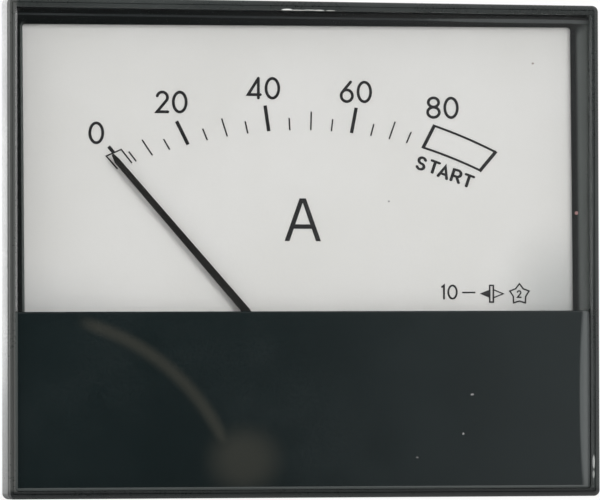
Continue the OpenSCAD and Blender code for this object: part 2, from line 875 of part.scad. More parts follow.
module needle_plan() {
    tip_taper = 1;
    root = pointer_root_w / 2;
    tip = pointer_tip_w / 2;
    polygon([
        [-root, 0], [-tip, pointer_len - tip_taper], [-tip / 2, pointer_len],
        [tip / 2, pointer_len], [tip, pointer_len - tip_taper], [root, 0]
    ]);
}

module pointer_needle() {
    color("#16171a")
        at_zero() difference() {
            union() {
                rod(hub_r, needle_root_z, needle_root_z + pointer_t);
                intersection() {
                    translate([-hub_r, 0, 0]) rotate([90, 0, 90]) linear_extrude(2 * hub_r) needle_profile();
                    translate([0, 0, needle_root_z - cut])
                        linear_extrude(needle_z + pointer_t - needle_root_z + 2 * cut) needle_plan();
                }
            }
            rod(hub_sleeve_r + fit / 2, needle_root_z - cut, needle_z);
        }
}

module at_balance_arms() {
    for (side = [-1, 1]) rotate([0, 0, 180 + side * balance_spread]) children();
}

module balance_arms() {
    color("#b9b9b4")
        at_zero() difference() {
            translate([0, 0, arms_z]) linear_extrude(pointer_t) {
                circle(hub_r);
                at_balance_arms() {
                    translate([-balance_arm_w / 2, 0]) square([balance_arm_w, balance_arm]);
                    translate([0, balance_arm]) circle(balance_d / 2);
                }
            }
            rod(hub_sleeve_r + fit / 2, arms_z - cut, arms_z + cut);
        }
}

module balance_weights() {
    color("#c2a04e")
        at_zero() at_balance_arms() translate([0, balance_arm, 0])
            rod(balance_d / 2, arms_z + pointer_t, arms_z + pointer_t + balance_t);
}

module moving_magnet() {
    magnet_front = plate_back_z - magnet_sink;
    color("#3c3e42")
        at_zero() ring(magnet_d / 2, staff_d / 2 + fit / 2, magnet_front - magnet_t, magnet_front);
}

// ---- Conductor and terminals ----

module strap_profile() {
    arch_h = strap_arch_z - inner_back_z;
    intersection() {
        translate([-strap_foot_x, inner_back_z]) square([2 * strap_foot_x, arch_h]);
        difference() {
            union() {
                translate([0, strap_arch_z - arch_h]) rounded_rect(2 * strap_leg_x, 2 * arch_h, bend_r);
                translate([-strap_foot_x, inner_back_z]) square([2 * strap_foot_x, strap_t]);
            }
            translate([0, strap_arch_z - arch_h])
                rounded_rect(2 * (strap_leg_x - strap_t), 2 * (arch_h - strap_t), bend_r - strap_t / 2);
        }
    }
}

module conductor_strap() {
    color("#b06a45")
        difference() {
            translate([0, strap_w / 2 - term_drop, 0]) rotate([90, 0, 0])
                linear_extrude(strap_w) strap_profile();
            at_terminals() rod(term_hole_r, inner_back_z - cut, inner_back_z + strap_t + cut);
        }
}

module terminal_studs() {
    color("#c2a04e")
        at_terminals() {
            threaded_end(term_d / 2, outer_nut_z, term_end_z);
            rod(thread_r, outer_nut_z, term_head_z);
            rod(term_d / 2, spring_z, inner_nut_z);
            rod(term_d / 2, washer_z, term_head_z);
            translate([0, 0, term_head_z]) rotate(30) linear_extrude(term_head_t) hexagon(term_head_af);
        }
}

module terminal_washers() {
    color("#c2a04e")
        at_terminals() {
            ring(term_washer_d / 2, washer_hole_r, washer_z, term_boss_z);
            ring(term_washer_d / 2, washer_hole_r, outer_washer_z, inner_nut_z);
        }
}

module terminal_inner_nuts() {
    color("#c2a04e")
        at_terminals() translate([0, 0, inner_nut_z]) nut(term_nut_af, term_inner_nut_t, thread_r + fit);
}

module spring_washers() {
    spring_r = term_nut_af / 2 + spring_rim;
    color("#9a9da0")
        at_terminals() difference() {
            ring(spring_r, washer_hole_r, spring_z, outer_washer_z);
            rotate([0, 0, spring_turn]) translate([0, -spring_split / 2, spring_z - cut])
                cube([spring_r + cut, spring_split, spring_washer_t + 2 * cut]);
        }
}

module terminal_outer_nuts() {
    color("#c2a04e")
        at_terminals() translate([0, 0, outer_nut_z]) nut(term_nut_af, term_outer_nut_t, thread_r + fit);
}

upright() front_frame();
upright() window_pane();
upright() lower_mask();
upright() rear_case();
upright() fixing_studs();
upright() dial_plate();
upright() dial_screws();
upright() scale_marks();
upright() movement_plate();
upright() plate_screws();
upright() bridge_pillars();
upright() front_bridge();
upright() bridge_screws();
upright() front_jewel_screw();
upright() rear_jewel_screw();
upright() jewel_lock_nuts();
upright() front_jewel();
upright() rear_jewel();
upright() damping_cup();
upright() shield_ring();
upright() control_magnet_bar();
upright() stop_pins();
upright() stop_sleeves();
upright() pivot_staff();
upright() pointer_hub();
upright() pointer_needle();
upright() balance_arms();
upright() balance_weights();
upright() moving_magnet();
upright() conductor_strap();
upright() terminal_studs();
upright() terminal_washers();
upright() terminal_inner_nuts();
upright() spring_washers();
upright() terminal_outer_nuts();
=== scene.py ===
# %% [markdown]
# # A rectangular panel ammeter
# The meter has a black moulded frame, a clear pane over a white dial, and a black mask over the movement.
# Behind the panel stand a round body, four fixing studs and two terminals.
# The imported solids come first, as a frame that never moves; every finish and every finer shape is set on it.

# %% Load the frame
import math

import bmesh
import bpy
from mathutils import Matrix, Quaternion, Vector


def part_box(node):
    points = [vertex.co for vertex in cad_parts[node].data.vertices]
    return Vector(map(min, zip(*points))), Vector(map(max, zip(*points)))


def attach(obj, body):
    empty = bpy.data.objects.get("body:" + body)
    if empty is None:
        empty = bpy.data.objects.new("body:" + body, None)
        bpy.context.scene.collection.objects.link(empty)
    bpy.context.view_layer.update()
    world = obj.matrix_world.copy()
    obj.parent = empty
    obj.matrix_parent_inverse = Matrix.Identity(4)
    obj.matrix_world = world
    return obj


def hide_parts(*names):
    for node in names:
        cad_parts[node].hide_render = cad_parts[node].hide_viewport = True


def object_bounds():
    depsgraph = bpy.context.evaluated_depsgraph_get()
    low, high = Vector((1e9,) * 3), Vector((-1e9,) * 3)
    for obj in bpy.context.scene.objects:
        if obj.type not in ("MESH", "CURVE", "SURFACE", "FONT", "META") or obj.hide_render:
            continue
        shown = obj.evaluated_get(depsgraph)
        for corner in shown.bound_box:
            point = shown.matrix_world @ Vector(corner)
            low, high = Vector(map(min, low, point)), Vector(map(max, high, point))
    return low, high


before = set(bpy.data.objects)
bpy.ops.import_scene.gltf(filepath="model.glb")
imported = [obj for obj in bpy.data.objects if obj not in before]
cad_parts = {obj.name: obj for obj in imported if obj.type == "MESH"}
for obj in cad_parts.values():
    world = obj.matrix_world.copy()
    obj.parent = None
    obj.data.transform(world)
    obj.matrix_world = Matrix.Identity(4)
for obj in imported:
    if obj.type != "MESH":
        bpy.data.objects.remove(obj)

MM = 0.001
cad_low, cad_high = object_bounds()
cad_size = cad_high - cad_low
print("frame:", len(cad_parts), "nodes, mm:", [round(s / MM, 2) for s in cad_size])

# %% [markdown]
# ## Camera
# The meter is seen from a little to its left and a touch from below, through a long lens, so that
# its sides stay almost parallel. The camera is turned towards a point near the middle of the front.

# %% Camera
EYE_TURN = math.radians(-14.64)
EYE_RISE = math.radians(-1.56)
EYE_ROLL = math.radians(-0.14)
EYE_DISTANCE = 0.7668
LENS_MM = 351.6
AIM = Vector((-1.03, 0, -0.11)) * MM

front_y = cad_low.y
front_middle = Vector((0, front_y, 0))
eye = front_middle + EYE_DISTANCE * Vector((
    math.sin(EYE_TURN) * math.cos(EYE_RISE),
    -math.cos(EYE_TURN) * math.cos(EYE_RISE),
    math.sin(EYE_RISE),
))
lens = bpy.data.cameras.new("camera")
lens.lens = LENS_MM
lens.clip_start = 0.01
camera = bpy.data.objects.new("camera", lens)
camera.location = eye
look = (front_middle + AIM - eye).to_track_quat("-Z", "Y")
camera.rotation_euler = (look @ Quaternion((0, 0, 1), EYE_ROLL)).to_euler()
scene = bpy.context.scene
scene.collection.objects.link(camera)
scene.camera = camera
scene.view_settings.view_transform = "Standard"
print("eye, mm:", [round(c / MM, 1) for c in eye])

# %% [markdown]
# ## Node helpers
# The world, the finishes and the Geometry Nodes trees are all built from nodes. One function adds a node with
# its settings and inputs, and plain arithmetic on a node's outputs adds the Math nodes in between. Written
# out one link at a time, the trees would be much longer and no easier to follow.

# %% Node helpers
class Term:
    """A value in a node tree. Arithmetic on it adds Math nodes to that tree."""

    def __init__(self, socket):
        self.socket = socket

    def __add__(self, other):
        return calc("ADD", self, other)

    def __sub__(self, other):
        return calc("SUBTRACT", self, other)

    def __rsub__(self, other):
        return calc("SUBTRACT", other, self)

    def __mul__(self, other):
        return calc("MULTIPLY", self, other)

    def __rmul__(self, other):
        return calc("MULTIPLY", other, self)

    def __truediv__(self, other):
        return calc("DIVIDE", self, other)

    def __pow__(self, other):
        return calc("POWER", self, other)

    def __abs__(self):
        return calc("ABSOLUTE", self)


class Outputs:
    """A node's outputs by name, as terms."""

    def __init__(self, node):
        self.node = node

    def __getitem__(self, name):
        return Term(self.node.outputs[name])


def feed(node, inputs):
    """Sets inputs by name or place. Each gets a plain value, a term, a socket or a node's first output."""
    for name, value in inputs.items():
        if isinstance(value, Term):
            value = value.socket
        if isinstance(value, bpy.types.Node):
            value = value.outputs[0]
        if isinstance(value, bpy.types.NodeSocket):
            node.id_data.links.new(value, node.inputs[name])
        else:
            node.inputs[name].default_value = value
    return node


def add(tree, kind, inputs=None, **settings):
    """Adds a node with its settings and inputs."""
    node = tree.nodes.new(kind)
    for name, value in settings.items():
        setattr(node, name, value)
    return feed(node, inputs or {})


def calc(operation, first, second=0.0):
    """Adds a Math node to the tree of its terms."""
    tree = (first if isinstance(first, Term) else second).socket.id_data
    return Term(add(tree, "ShaderNodeMath", {0: first, 1: second}, operation=operation).outputs[0])


def vector_calc(operation, first, second=(0, 0, 0), output="Vector"):
    """Adds a Vector Math node."""
    node = add(first.socket.id_data, "ShaderNodeVectorMath", {0: first, 1: second}, operation=operation)
    return Term(node.outputs[output])


def remap(value, low, high, to_low=0.0, to_high=1.0):
    """Adds a smooth Map Range node from low..high to to_low..to_high."""
    inputs = {"Value": value, "From Min": low, "From Max": high, "To Min": to_low, "To Max": to_high}
    node = add(value.socket.id_data, "ShaderNodeMapRange", inputs, interpolation_type="SMOOTHSTEP")
    return Term(node.outputs["Result"])


def axes_of(vector):
    """A vector's X, Y and Z."""
    return Outputs(add(vector.socket.id_data, "ShaderNodeSeparateXYZ", {0: vector}))


def noise(vector, scale, detail=2.0, roughness=0.5):
    """Adds a Noise Texture."""
    inputs = {"Vector": vector, "Scale": scale, "Detail": detail, "Roughness": roughness}
    return Term(add(vector.socket.id_data, "ShaderNodeTexNoise", inputs).outputs["Fac"])


def blended(first, second, share):
    """Goes from the first value to the second as share goes from 0 to 1."""
    return first * (1.0 - share) + second * share


def mixed(share, first, second):
    """Goes from the first shader to the second as share goes from 0 to 1."""
    return add(share.socket.id_data, "ShaderNodeMixShader", {0: share, 1: first, 2: second})


def node_group(name, kind, inputs, outputs):
    """Starts a node group. Inputs and outputs are (name, kind) or (name, kind, default)."""
    group = bpy.data.node_groups.new(name, kind)
    for direction, items in (("INPUT", inputs), ("OUTPUT", outputs)):
        for title, sort, *default in items:
            socket = group.interface.new_socket(title, in_out=direction, socket_type=f"NodeSocket{sort}")
            if default:
                socket.default_value = default[0]
    return group, Outputs(group.nodes.new("NodeGroupInput")), group.nodes.new("NodeGroupOutput")


# %% [markdown]
# ## Surroundings
# The meter stands in a soft white tent, whose colour lights it evenly. The camera itself sees plain white.
# What polished faces and the pane mirror in front of the meter is a dimmer room that brightens to the
# right, so the black mask stays dark on the left and shows a soft sheen on the right. What they show of the
# side behind the meter is a light grey. Light that comes off the dial through the pane still meets the tent,
# which its diffuse depth tells apart.

# %% Sky
TENT_RISE = (-0.2, 0.9)
TENT_LEVELS = (0.84, 1.06)
# Each part of the room: its axis, where along it the part begins and is full, and its levels there
ROOM = (
    ("X", 0.225, 0.335, 0.045, 0.40),
    ("Z", 0.12, 0.7, 0.0, 0.22),
    ("X", 0.32, 0.42, 0.0, 0.2),
    ("Z", -0.15, -0.5, 0.0, 0.2),
)
WINDOW_FROM = (-0.25, -0.50)
WINDOW_TO = (-0.98, -0.86)
WINDOW_LEVEL = 1.3
BEHIND_FROM = (0.0, 0.3)
BEHIND_LEVEL = 0.56
CAMERA_LEVEL = 1.0

world = bpy.data.worlds.new("tent")
scene.world = world
world.use_nodes = True
sky = world.node_tree
sky.nodes.clear()
way = axes_of(Term(add(sky, "ShaderNodeTexCoord").outputs["Generated"]))
rays = Outputs(add(sky, "ShaderNodeLightPath"))
tent = remap(way["Z"], *TENT_RISE, *TENT_LEVELS)
first, *others = (remap(way[axis], *limits) for axis, *limits in ROOM)
room = sum(others, first)
room += remap(way["X"], *WINDOW_FROM) * remap(way["X"], *WINDOW_TO) * WINDOW_LEVEL
seen = calc("MAXIMUM", rays["Is Glossy Ray"], rays["Is Transmission Ray"])
mirrored = seen * calc("LESS_THAN", rays["Diffuse Depth"], 0.5)
strength = blended(tent, room, mirrored)
strength = blended(strength, BEHIND_LEVEL, seen * remap(way["Y"], *BEHIND_FROM))
strength = blended(strength, CAMERA_LEVEL, rays["Is Camera Ray"])
add(sky, "ShaderNodeOutputWorld",
    {0: add(sky, "ShaderNodeBackground", {"Color": (1, 1, 1, 1), "Strength": strength})})
print("sky nodes:", len(sky.nodes))

# %% Lamps
# Each lamp's name, place and size in metres, its watts, and whether polished faces mirror it
LAMPS = (
    ("key", (0.32, -0.84, 0.30), 0.5, 3.9, False),
    ("fill", (-0.78, -0.40, 0.22), 0.45, 1.6, True),
    ("edge", (-0.26, 0.88, 0.12), 0.55, 2.6, True),
)

for name, place, size, watts, shown in LAMPS:
    light = bpy.data.lights.new(name, "AREA")
    light.size = size
    light.energy = watts
    holder = bpy.data.objects.new(name, light)
    holder.location = place
    holder.rotation_euler = (-Vector(place)).to_track_quat("-Z", "Y").to_euler()
    holder.visible_camera = False
    holder.visible_glossy = shown
    holder.visible_transmission = shown
    scene.collection.objects.link(holder)
print("lamps:", len(LAMPS))

# %% [markdown]
# ## Floor
# The meter stands on a pale sheet. A large flat mesh is enough. To the eye and in reflections the sheet
# is nearly white, but part of what is seen is still lit paper, so the soft shadow of the meter stays. In
# front of the meter the sheet is left out of reflections, or the lower mask would mirror it as a pale wedge.

# %% Floor
FLOOR_HALF = 0.9
FLOOR_GLOW = 0.8
FLOOR_PAPER = (0.86, 0.86, 0.85, 1)
FLOOR_FADE = (0.0, 0.02)
FLOOR_OPEN = (-0.003, -0.012)


def new_object(name, mesh):
    """Puts a mesh in the scene under a name."""
    thing = bpy.data.objects.new(name, mesh)
    scene.collection.objects.link(thing)
    return thing


floor_mesh = bpy.data.meshes.new("floor")
corners = [(sx * FLOOR_HALF, sy * FLOOR_HALF, cad_low.z) for sx, sy in ((-1, -1), (1, -1), (1, 1), (-1, 1))]
floor_mesh.from_pydata(corners, [], [(0, 1, 2, 3)])
floor = new_object("floor", floor_mesh)
paper = bpy.data.materials.new("floor_paper")
paper.use_nodes = True
tree = paper.node_tree
tree.nodes.clear()
rays = Outputs(add(tree, "ShaderNodeLightPath"))
spot = axes_of(Term(add(tree, "ShaderNodeTexCoord").outputs["Object"]))
seen = calc("MAXIMUM", rays["Is Glossy Ray"], rays["Is Transmission Ray"]) * remap(spot["Y"], *FLOOR_FADE)
seen = calc("MAXIMUM", rays["Is Camera Ray"], seen)
lit = add(tree, "ShaderNodeBsdfDiffuse", {"Color": FLOOR_PAPER})
sheet = mixed(seen * FLOOR_GLOW, lit, add(tree, "ShaderNodeEmission"))
clear = add(tree, "ShaderNodeBsdfTransparent")
sheet = mixed(rays["Is Glossy Ray"] * remap(spot["Y"], *FLOOR_OPEN), sheet, clear)
add(tree, "ShaderNodeOutputMaterial", {"Surface": sheet})
floor_mesh.materials.append(paper)
print("floor at z, mm:", round(cad_low.z / MM, 2))

# %% [markdown]
# ## Shared effects
# The black mouldings, the painted dial and the metal parts share a few marks of making and use: a fine
# grain, faint scuffs and small local blemishes. The same patches also serve for painted shade and light,
# and a soft arc paints a reflection on the mask. Each is a node group, made once, that puts out a mask or
# a height. The materials decide what the mask does. The alternative, painting images, would tie the
# finish to one mesh and would have to be stored with it.

# %% Shader groups
MASK = [("Mask", "Float")]
PLACED = [("Position", "Vector"), ("Place", "Vector"), ("Size", "Vector", (MM, MM, MM))]
SCUFF_STRETCH = (160, 900, 5200)
SCUFF_PLACES = 90.0
RAGGED_SCALE = 2600.0


def reach_of(given):
    """How far a position lies from a group's Place, measured in its Size."""
    away = vector_calc("SUBTRACT", given["Position"], given["Place"])
    return vector_calc("LENGTH", vector_calc("DIVIDE", away, given["Size"]), output="Value")


# Grain: an even, fine unevenness, from -1 to 1, and the same as broad clouds
group, given, put = node_group(
    "fine_grain", "ShaderNodeTree",
    [("Position", "Vector"), ("Scale", "Float", 3000.0)], [("Grain", "Float"), ("Cloud", "Float")])
fine = noise(given["Position"], given["Scale"], 3.0, 0.6)
broad = noise(given["Position"], given["Scale"] * 0.03, 3.0, 0.55)
feed(put, {"Grain": remap(fine, 0.25, 0.75, -1.0, 1.0), "Cloud": remap(broad, 0.3, 0.7, -1.0, 1.0)})

# Scuffs: short fine scratches that gather in some places
group, given, put = node_group(
    "scuffs", "ShaderNodeTree",
    [("Position", "Vector"), ("Turn", "Float", 0.6), ("Amount", "Float", 0.5)], MASK)
turned = Outputs(add(group, "ShaderNodeVectorRotate", {"Vector": given["Position"], "Angle": given["Turn"]},
                     rotation_type="Y_AXIS"))
streaks = remap(noise(vector_calc("MULTIPLY", turned["Vector"], SCUFF_STRETCH), 1.0), 0.66, 0.74)
places = remap(noise(given["Position"], SCUFF_PLACES), 0.5, 0.7)
feed(put, {"Mask": streaks * places * given["Amount"]})

# Patch: one patch of ragged outline at a place, used for blemishes and for painted shade and light
group, given, put = node_group(
    "patch", "ShaderNodeTree", [*PLACED, ("Ragged", "Float", 0.4), ("Soft", "Float", 0.4)], MASK)
ragged = (noise(given["Position"], RAGGED_SCALE, 3.0, 0.6) - 0.5) * (given["Ragged"] * 4.0)
inward = (1.0 - (reach_of(given) + ragged)) / given["Soft"] + 0.5
feed(put, {"Mask": remap(inward, 0.0, 1.0)})

# Arc: a soft band along an oval
group, given, put = node_group("arc", "ShaderNodeTree", [*PLACED, ("Width", "Float", 0.1)], MASK)
near = 1.0 - abs(reach_of(given) - 1.0) / given["Width"]
feed(put, {"Mask": remap(near, 0.0, 1.0)})
print("groups:", [g.name for g in bpy.data.node_groups])

# %% [markdown]
# ## Finishes
# Every finish starts from one Principled shader. Broad clouds vary its colour a little, the fine grain varies
# its roughness, and a Bump node turns the same grain into a fine unevenness of the surface. What is even
# over the whole surface, such as the roughness of a polished pane, is set on the shader itself.

# %% Finish helper
finishes = {}


class Finish:
    """A material around one Principled shader, with the surface's own position at hand."""

    def __init__(self, name, colour, roughness, **inputs):
        self.material = bpy.data.materials.new(name)
        self.material.use_nodes = True
        self.tree = self.material.node_tree
        self.shader = self.tree.nodes["Principled BSDF"]
        self.colour = (*colour, 1)
        self.roughness = roughness
        self.position = Term(add(self.tree, "ShaderNodeTexCoord").outputs["Object"])
        feed(self.shader, {"Base Color": self.colour, "Roughness": roughness, **inputs})
        finishes[name] = self

    def group(self, name, **values):
        """Places one of the shared groups and returns its outputs."""
        values["Position"] = self.position
        return Outputs(add(self.tree, "ShaderNodeGroup", values, node_tree=bpy.data.node_groups[name]))

    def tint(self, mask, colour):
        """Mixes a colour in where the mask is white."""
        inputs = {"Factor": mask, "A": self.colour, "B": (*colour, 1)}
        self.colour = add(self.tree, "ShaderNodeMix", inputs, data_type="RGBA").outputs["Result"]
        feed(self.shader, {"Base Color": self.colour})

    def wear(self, masks):
        """Adds masks, each times its weight, to the roughness."""
        total = self.roughness
        for mask, weight in masks:
            total = mask * weight + total
        feed(self.shader, {"Roughness": total})

    def spots(self, items, ragged=0.4, soft=0.4):
        """Adds patches of colour: blemishes, and painted shade and light. Each has a middle and a half size in
        millimetres, and a colour.
        """
        for middle, half, colour in items:
            patch = self.group("patch", **placed(middle, half), Ragged=ragged, Soft=soft)
            self.tint(patch["Mask"], colour)

    def dull(self, mask):
        """Takes the mirroring away where the mask is white."""
        feed(self.shader, {"Specular IOR Level": 1.0 - mask})

    def bump(self, height, depth):
        """Raises the surface by a height mask times a depth in metres."""
        bump = add(self.tree, "ShaderNodeBump", {"Distance": depth, "Height": height})
        feed(self.shader, {"Normal": bump})


def placed(middle, half):
    """The Place and Size of a patch, from millimetres."""
    return {"Place": Vector(middle) * MM, "Size": Vector(half) * MM}


def grained(name, colour, roughness, grain_scale, cloud_tint, **inputs):
    """Starts a finish whose colour goes towards a share of itself in broad clouds. Also gives its grain."""
    finish = Finish(name, colour, roughness, **inputs)
    grain = finish.group("fine_grain", Scale=grain_scale)
    finish.tint(grain["Cloud"] * 0.5 + 0.5, [c * cloud_tint for c in colour])
    return finish, grain


# %% Plastics
SCUFF_LIGHTER = 0.18


def moulded(name, colour, roughness, grain_scale=2600.0, cloud_tint=1.5, depth=4e-6, scuff=0.25,
            rough_spots=()):
    """Moulded plastic: a faint flow pattern, fine grain and a few scuffs."""
    finish, grain = grained(name, colour, roughness, grain_scale, cloud_tint)
    scuffs = finish.group("scuffs", Amount=scuff)["Mask"]
    finish.tint(scuffs, [min(1.0, c + SCUFF_LIGHTER) for c in colour])
    masks = [(spot(finish), weight) for spot, weight in rough_spots]
    finish.wear([*masks, (grain["Grain"], 0.05), (grain["Cloud"], 0.04), (scuffs, 0.3)])
    finish.bump(grain["Grain"], depth)
    return finish


# Zones on the frame and the plates, in mm: where each begins, is full, fades and ends, or its half sizes
WALL_DEPTHS = (-8.92, -8.80, -8.20, -8.00)
WALL_HALVES = (39.08, 31.58)
RECESS_DEPTHS = (-6.86, -6.82, -5.0, -4.9)
RECESS_HALVES = (39.01, 31.51)
RIGHT_LIP_DEPTHS = (-6.86, -6.82, -6.74, -6.38)
LEFT_LIP_DEPTHS = (-6.58, -6.45, -5.9, -5.8)
LIP_FROM = (7.6, 9.5)
SIDE_FROM = (-38.48, -38.60)
FOOT_FROM = (-31.00, -31.10)
# Painted light: the walls of the pocket are tinted lighter grey
POCKET_WALL_PAINTED_LIGHT = (0.070, 0.078, 0.076)
# Painted shade in the recess, and a painted highlight on its lips
RECESS_PAINTED_SHADE = (0.008, 0.010, 0.010)
LIP_PAINTED_HIGHLIGHT = (0.085, 0.096, 0.092)


def zone_mask(value, *limits):
    """White where a value in metres has passed a soft limit in mm, and dark again past a second one."""
    mask = remap(value, limits[0] * MM, limits[1] * MM)
    if len(limits) > 2:
        mask = mask - remap(value, limits[2] * MM, limits[3] * MM)
    return mask


def within(finish, depths, halves):
    """White between depths inside a rectangle round the middle of the front."""
    spot = axes_of(finish.position)
    mask = zone_mask(spot["Y"], *depths)
    for axis, half in zip("XZ", halves):
        mask = mask * calc("LESS_THAN", abs(spot[axis]), half * MM)
    return mask


def ground_edge(finish):
    """White on the left and lower edges of a plate that fills the pocket: the pane's ground edges, and the
    mask's painted highlight.
    """
    spot = axes_of(finish.position)
    return calc("MAXIMUM", zone_mask(spot["X"], *SIDE_FROM), zone_mask(spot["Z"], *FOOT_FROM))


def dusty_wall(finish):
    """Painted light on the walls of the pocket: they are tinted lighter."""
    mask = within(finish, WALL_DEPTHS, WALL_HALVES)
    finish.tint(mask, POCKET_WALL_PAINTED_LIGHT)
    return mask


def matt_recess(finish):
    """The ledge and the round edge of the opening are matt and carry painted shade that darkens them, apart
    from lips at the sides, which carry a painted highlight.
    """
    mask = within(finish, RECESS_DEPTHS, RECESS_HALVES)
    finish.tint(mask, RECESS_PAINTED_SHADE)
    spot = axes_of(finish.position)
    right = within(finish, RIGHT_LIP_DEPTHS, RECESS_HALVES) * calc("GREATER_THAN", spot["X"], 0.0)
    left = within(finish, LEFT_LIP_DEPTHS, RECESS_HALVES) * calc("LESS_THAN", spot["X"], 0.0)
    lips = calc("MAXIMUM", right, left) * zone_mask(abs(spot["X"]) - abs(spot["Z"]), *LIP_FROM)
    finish.tint(lips, LIP_PAINTED_HIGHLIGHT)
    finish.dull(mask - lips)
    return mask


# Each patch has a middle and a half size in mm, and a colour. Some are real blemishes, some painted light and
# shade
# Painted light on the rim: a lighter strip down the left edge is a painted highlight, and a darker strip along
# the bottom edge is painted shade
RIM_PAINTED_LIGHT = [
    ((-39.5, -9.2, 0), (0.9, 0.9, 60), (0.046, 0.049, 0.046)),
    ((0, -9.2, -32.05), (60, 0.9, 0.9), (0.003, 0.005, 0.005)),
]
CHIPS_AND_PAINTED_LIGHT = [
    ((-2.7, -8.9, 31.34), (0.7, 0.8, 0.13), (0.60, 0.61, 0.59)),
    ((-1.2, -8.9, 31.28), (1.1, 0.8, 0.09), (0.46, 0.47, 0.45)),
    ((0.4, -8.9, 31.34), (0.9, 0.8, 0.06), (0.42, 0.43, 0.41)),
    ((1.7, -8.9, 31.29), (0.6, 0.8, 0.11), (0.52, 0.53, 0.51)),
    ((3.2, -8.9, 31.31), (0.6, 0.8, 0.06), (0.35, 0.36, 0.34)),
    ((39.1, -8.9, -28.0), (0.14, 0.5, 0.9), (0.30, 0.31, 0.30)),
    ((39.08, -8.9, -29.6), (0.12, 0.5, 0.5), (0.25, 0.26, 0.25)),
    ((37.45, -6.5, 5.03), (0.22, 0.5, 0.25), (0.45, 0.25, 0.24)),
    # The last two entries are painted highlights: lighter bands along the top of the ledge, brighter towards
    # the right
    ((0, -6.8, 30.42), (90, 0.4, 0.14), (0.045, 0.050, 0.052)),
    ((31, -6.8, 30.40), (14, 0.4, 0.28), (0.11, 0.12, 0.12)),
]
# Painted sheen: the right side of the mask is tinted lighter
MASK_SIDE_PAINTED_SHEEN = [((38.4, -8.1, -19.6), (0.9, 3, 13), (0.072, 0.080, 0.080))]
MASK_SPECKS = [
    ((22.65, -8.1, -19.04), (0.22, 1, 0.14), (0.2, 0.2, 0.2)),
    ((21.39, -8.1, -24.18), (0.16, 1, 0.14), (0.2, 0.2, 0.2)),
    ((15.07, -8.1, -27.32), (0.16, 1, 0.12), (0.1, 0.1, 0.1)),
]
# The glare on the mask is a painted reflection: an arc of lighter grey that fades at its left and lower ends,
# and a soft spot
GLARE_ARC = ((-37.4, -8.1, -37.0), (29.0, 9, 28.3))
GLARE_WIDTH = 0.05
GLARE_LEFT = (-31.2, -28.0)
GLARE_FOOT = (-28.5, -24.0)
GLARE_BLOB = ((-8.4, -8.1, -27.5), (4.1, 4, 3.6))
GLARE_PAINTED_REFLECTION = (0.023, 0.025, 0.021)
EDGE_PAINTED_HIGHLIGHT = (0.075, 0.084, 0.082)

frame_finish = moulded("frame_black", (0.011, 0.0145, 0.0138), 0.32, depth=2e-6, scuff=0.2,
                       rough_spots=[(dusty_wall, 0.1), (matt_recess, 0.6)])
frame_finish.spots(RIM_PAINTED_LIGHT, ragged=0.0)
frame_finish.spots(CHIPS_AND_PAINTED_LIGHT, ragged=0.08)

mask_finish = moulded("mask_black", (0.0042, 0.0085, 0.0090), 0.10, cloud_tint=1.2, depth=4e-7, scuff=0.02)
spot = axes_of(mask_finish.position)
# Painted reflection: the glare's arc and spot tint the mask lighter
glare_band = mask_finish.group("arc", **placed(*GLARE_ARC), Width=GLARE_WIDTH)["Mask"]
glare_band = glare_band * zone_mask(spot["X"], *GLARE_LEFT) * zone_mask(spot["Z"], *GLARE_FOOT)
glare_spot = mask_finish.group("patch", **placed(*GLARE_BLOB), Ragged=0.04, Soft=1.2)["Mask"]
mask_finish.tint(calc("MAXIMUM", glare_band, glare_spot), GLARE_PAINTED_REFLECTION)
# Painted highlight: the mask's left and lower edges are tinted lighter grey
mask_finish.tint(ground_edge(mask_finish), EDGE_PAINTED_HIGHLIGHT)
feed(mask_finish.shader, {"Specular IOR Level": 1.0})
mask_finish.spots(MASK_SIDE_PAINTED_SHEEN, ragged=0.0)
mask_finish.spots(MASK_SPECKS)

moulded("case_black", (0.018, 0.019, 0.019), 0.42, grain_scale=1800.0, depth=7e-6)
moulded("plate_nylon", (0.62, 0.58, 0.50), 0.5, cloud_tint=0.9, scuff=0.0)
moulded("sleeve_white", (0.78, 0.76, 0.70), 0.6, cloud_tint=0.9, scuff=0.0)

# %% Metals
# Each metal's colour, its roughness, and the share of the colour in its darker clouds
METALS = {
    "stud_steel": ((0.62, 0.61, 0.58), 0.34, 0.8),
    "brass": ((0.72, 0.52, 0.22), 0.3, 0.8),
    "copper": ((0.72, 0.35, 0.2), 0.36, 0.65),
    "soft_iron": ((0.30, 0.30, 0.31), 0.5, 0.8),
    "magnet_grey": ((0.12, 0.12, 0.13), 0.55, 0.8),
    "staff_steel": ((0.58, 0.58, 0.59), 0.2, 0.8),
}
METAL_GRAIN = 3200.0
METAL_DEPTH = 3e-6

for name, (colour, roughness, cloud_tint) in METALS.items():
    finish, grain = grained(name, colour, roughness, METAL_GRAIN, cloud_tint, Metallic=1.0)
    finish.wear([(grain["Grain"], 0.06), (grain["Cloud"], 0.06)])
    finish.bump(grain["Grain"], METAL_DEPTH)

# %% Dial paint, print, pointer, jewel and pane
DIAL_CLOUD = (0.775, 0.77, 0.75)
# Painted shade: patches darken the dial at its lower right corner and at the lower part of its left side,
# where the frame and the mask shade it
DIAL_PAINTED_SHADE = [
    ((35.5, -5, -8.0), (6.0, 5, 7.5), (0.56, 0.57, 0.56)),
    ((-36.0, -5, -8.0), (9.0, 5, 4.0), (0.70, 0.70, 0.69)),
]
DIAL_SPECKS = [
    ((12.0, -5, 6.45), (0.13, 1, 0.13), (0.25, 0.25, 0.25)),
    ((31.88, -5, 24.91), (0.15, 1, 0.13), (0.35, 0.30, 0.28)),
]
INK_MIRROR = 0.12
PANE_INDEX = 1.49
PANE_MIRROR = 0.3
PANE_FROST = 0.2
JEWEL_INDEX = 1.76

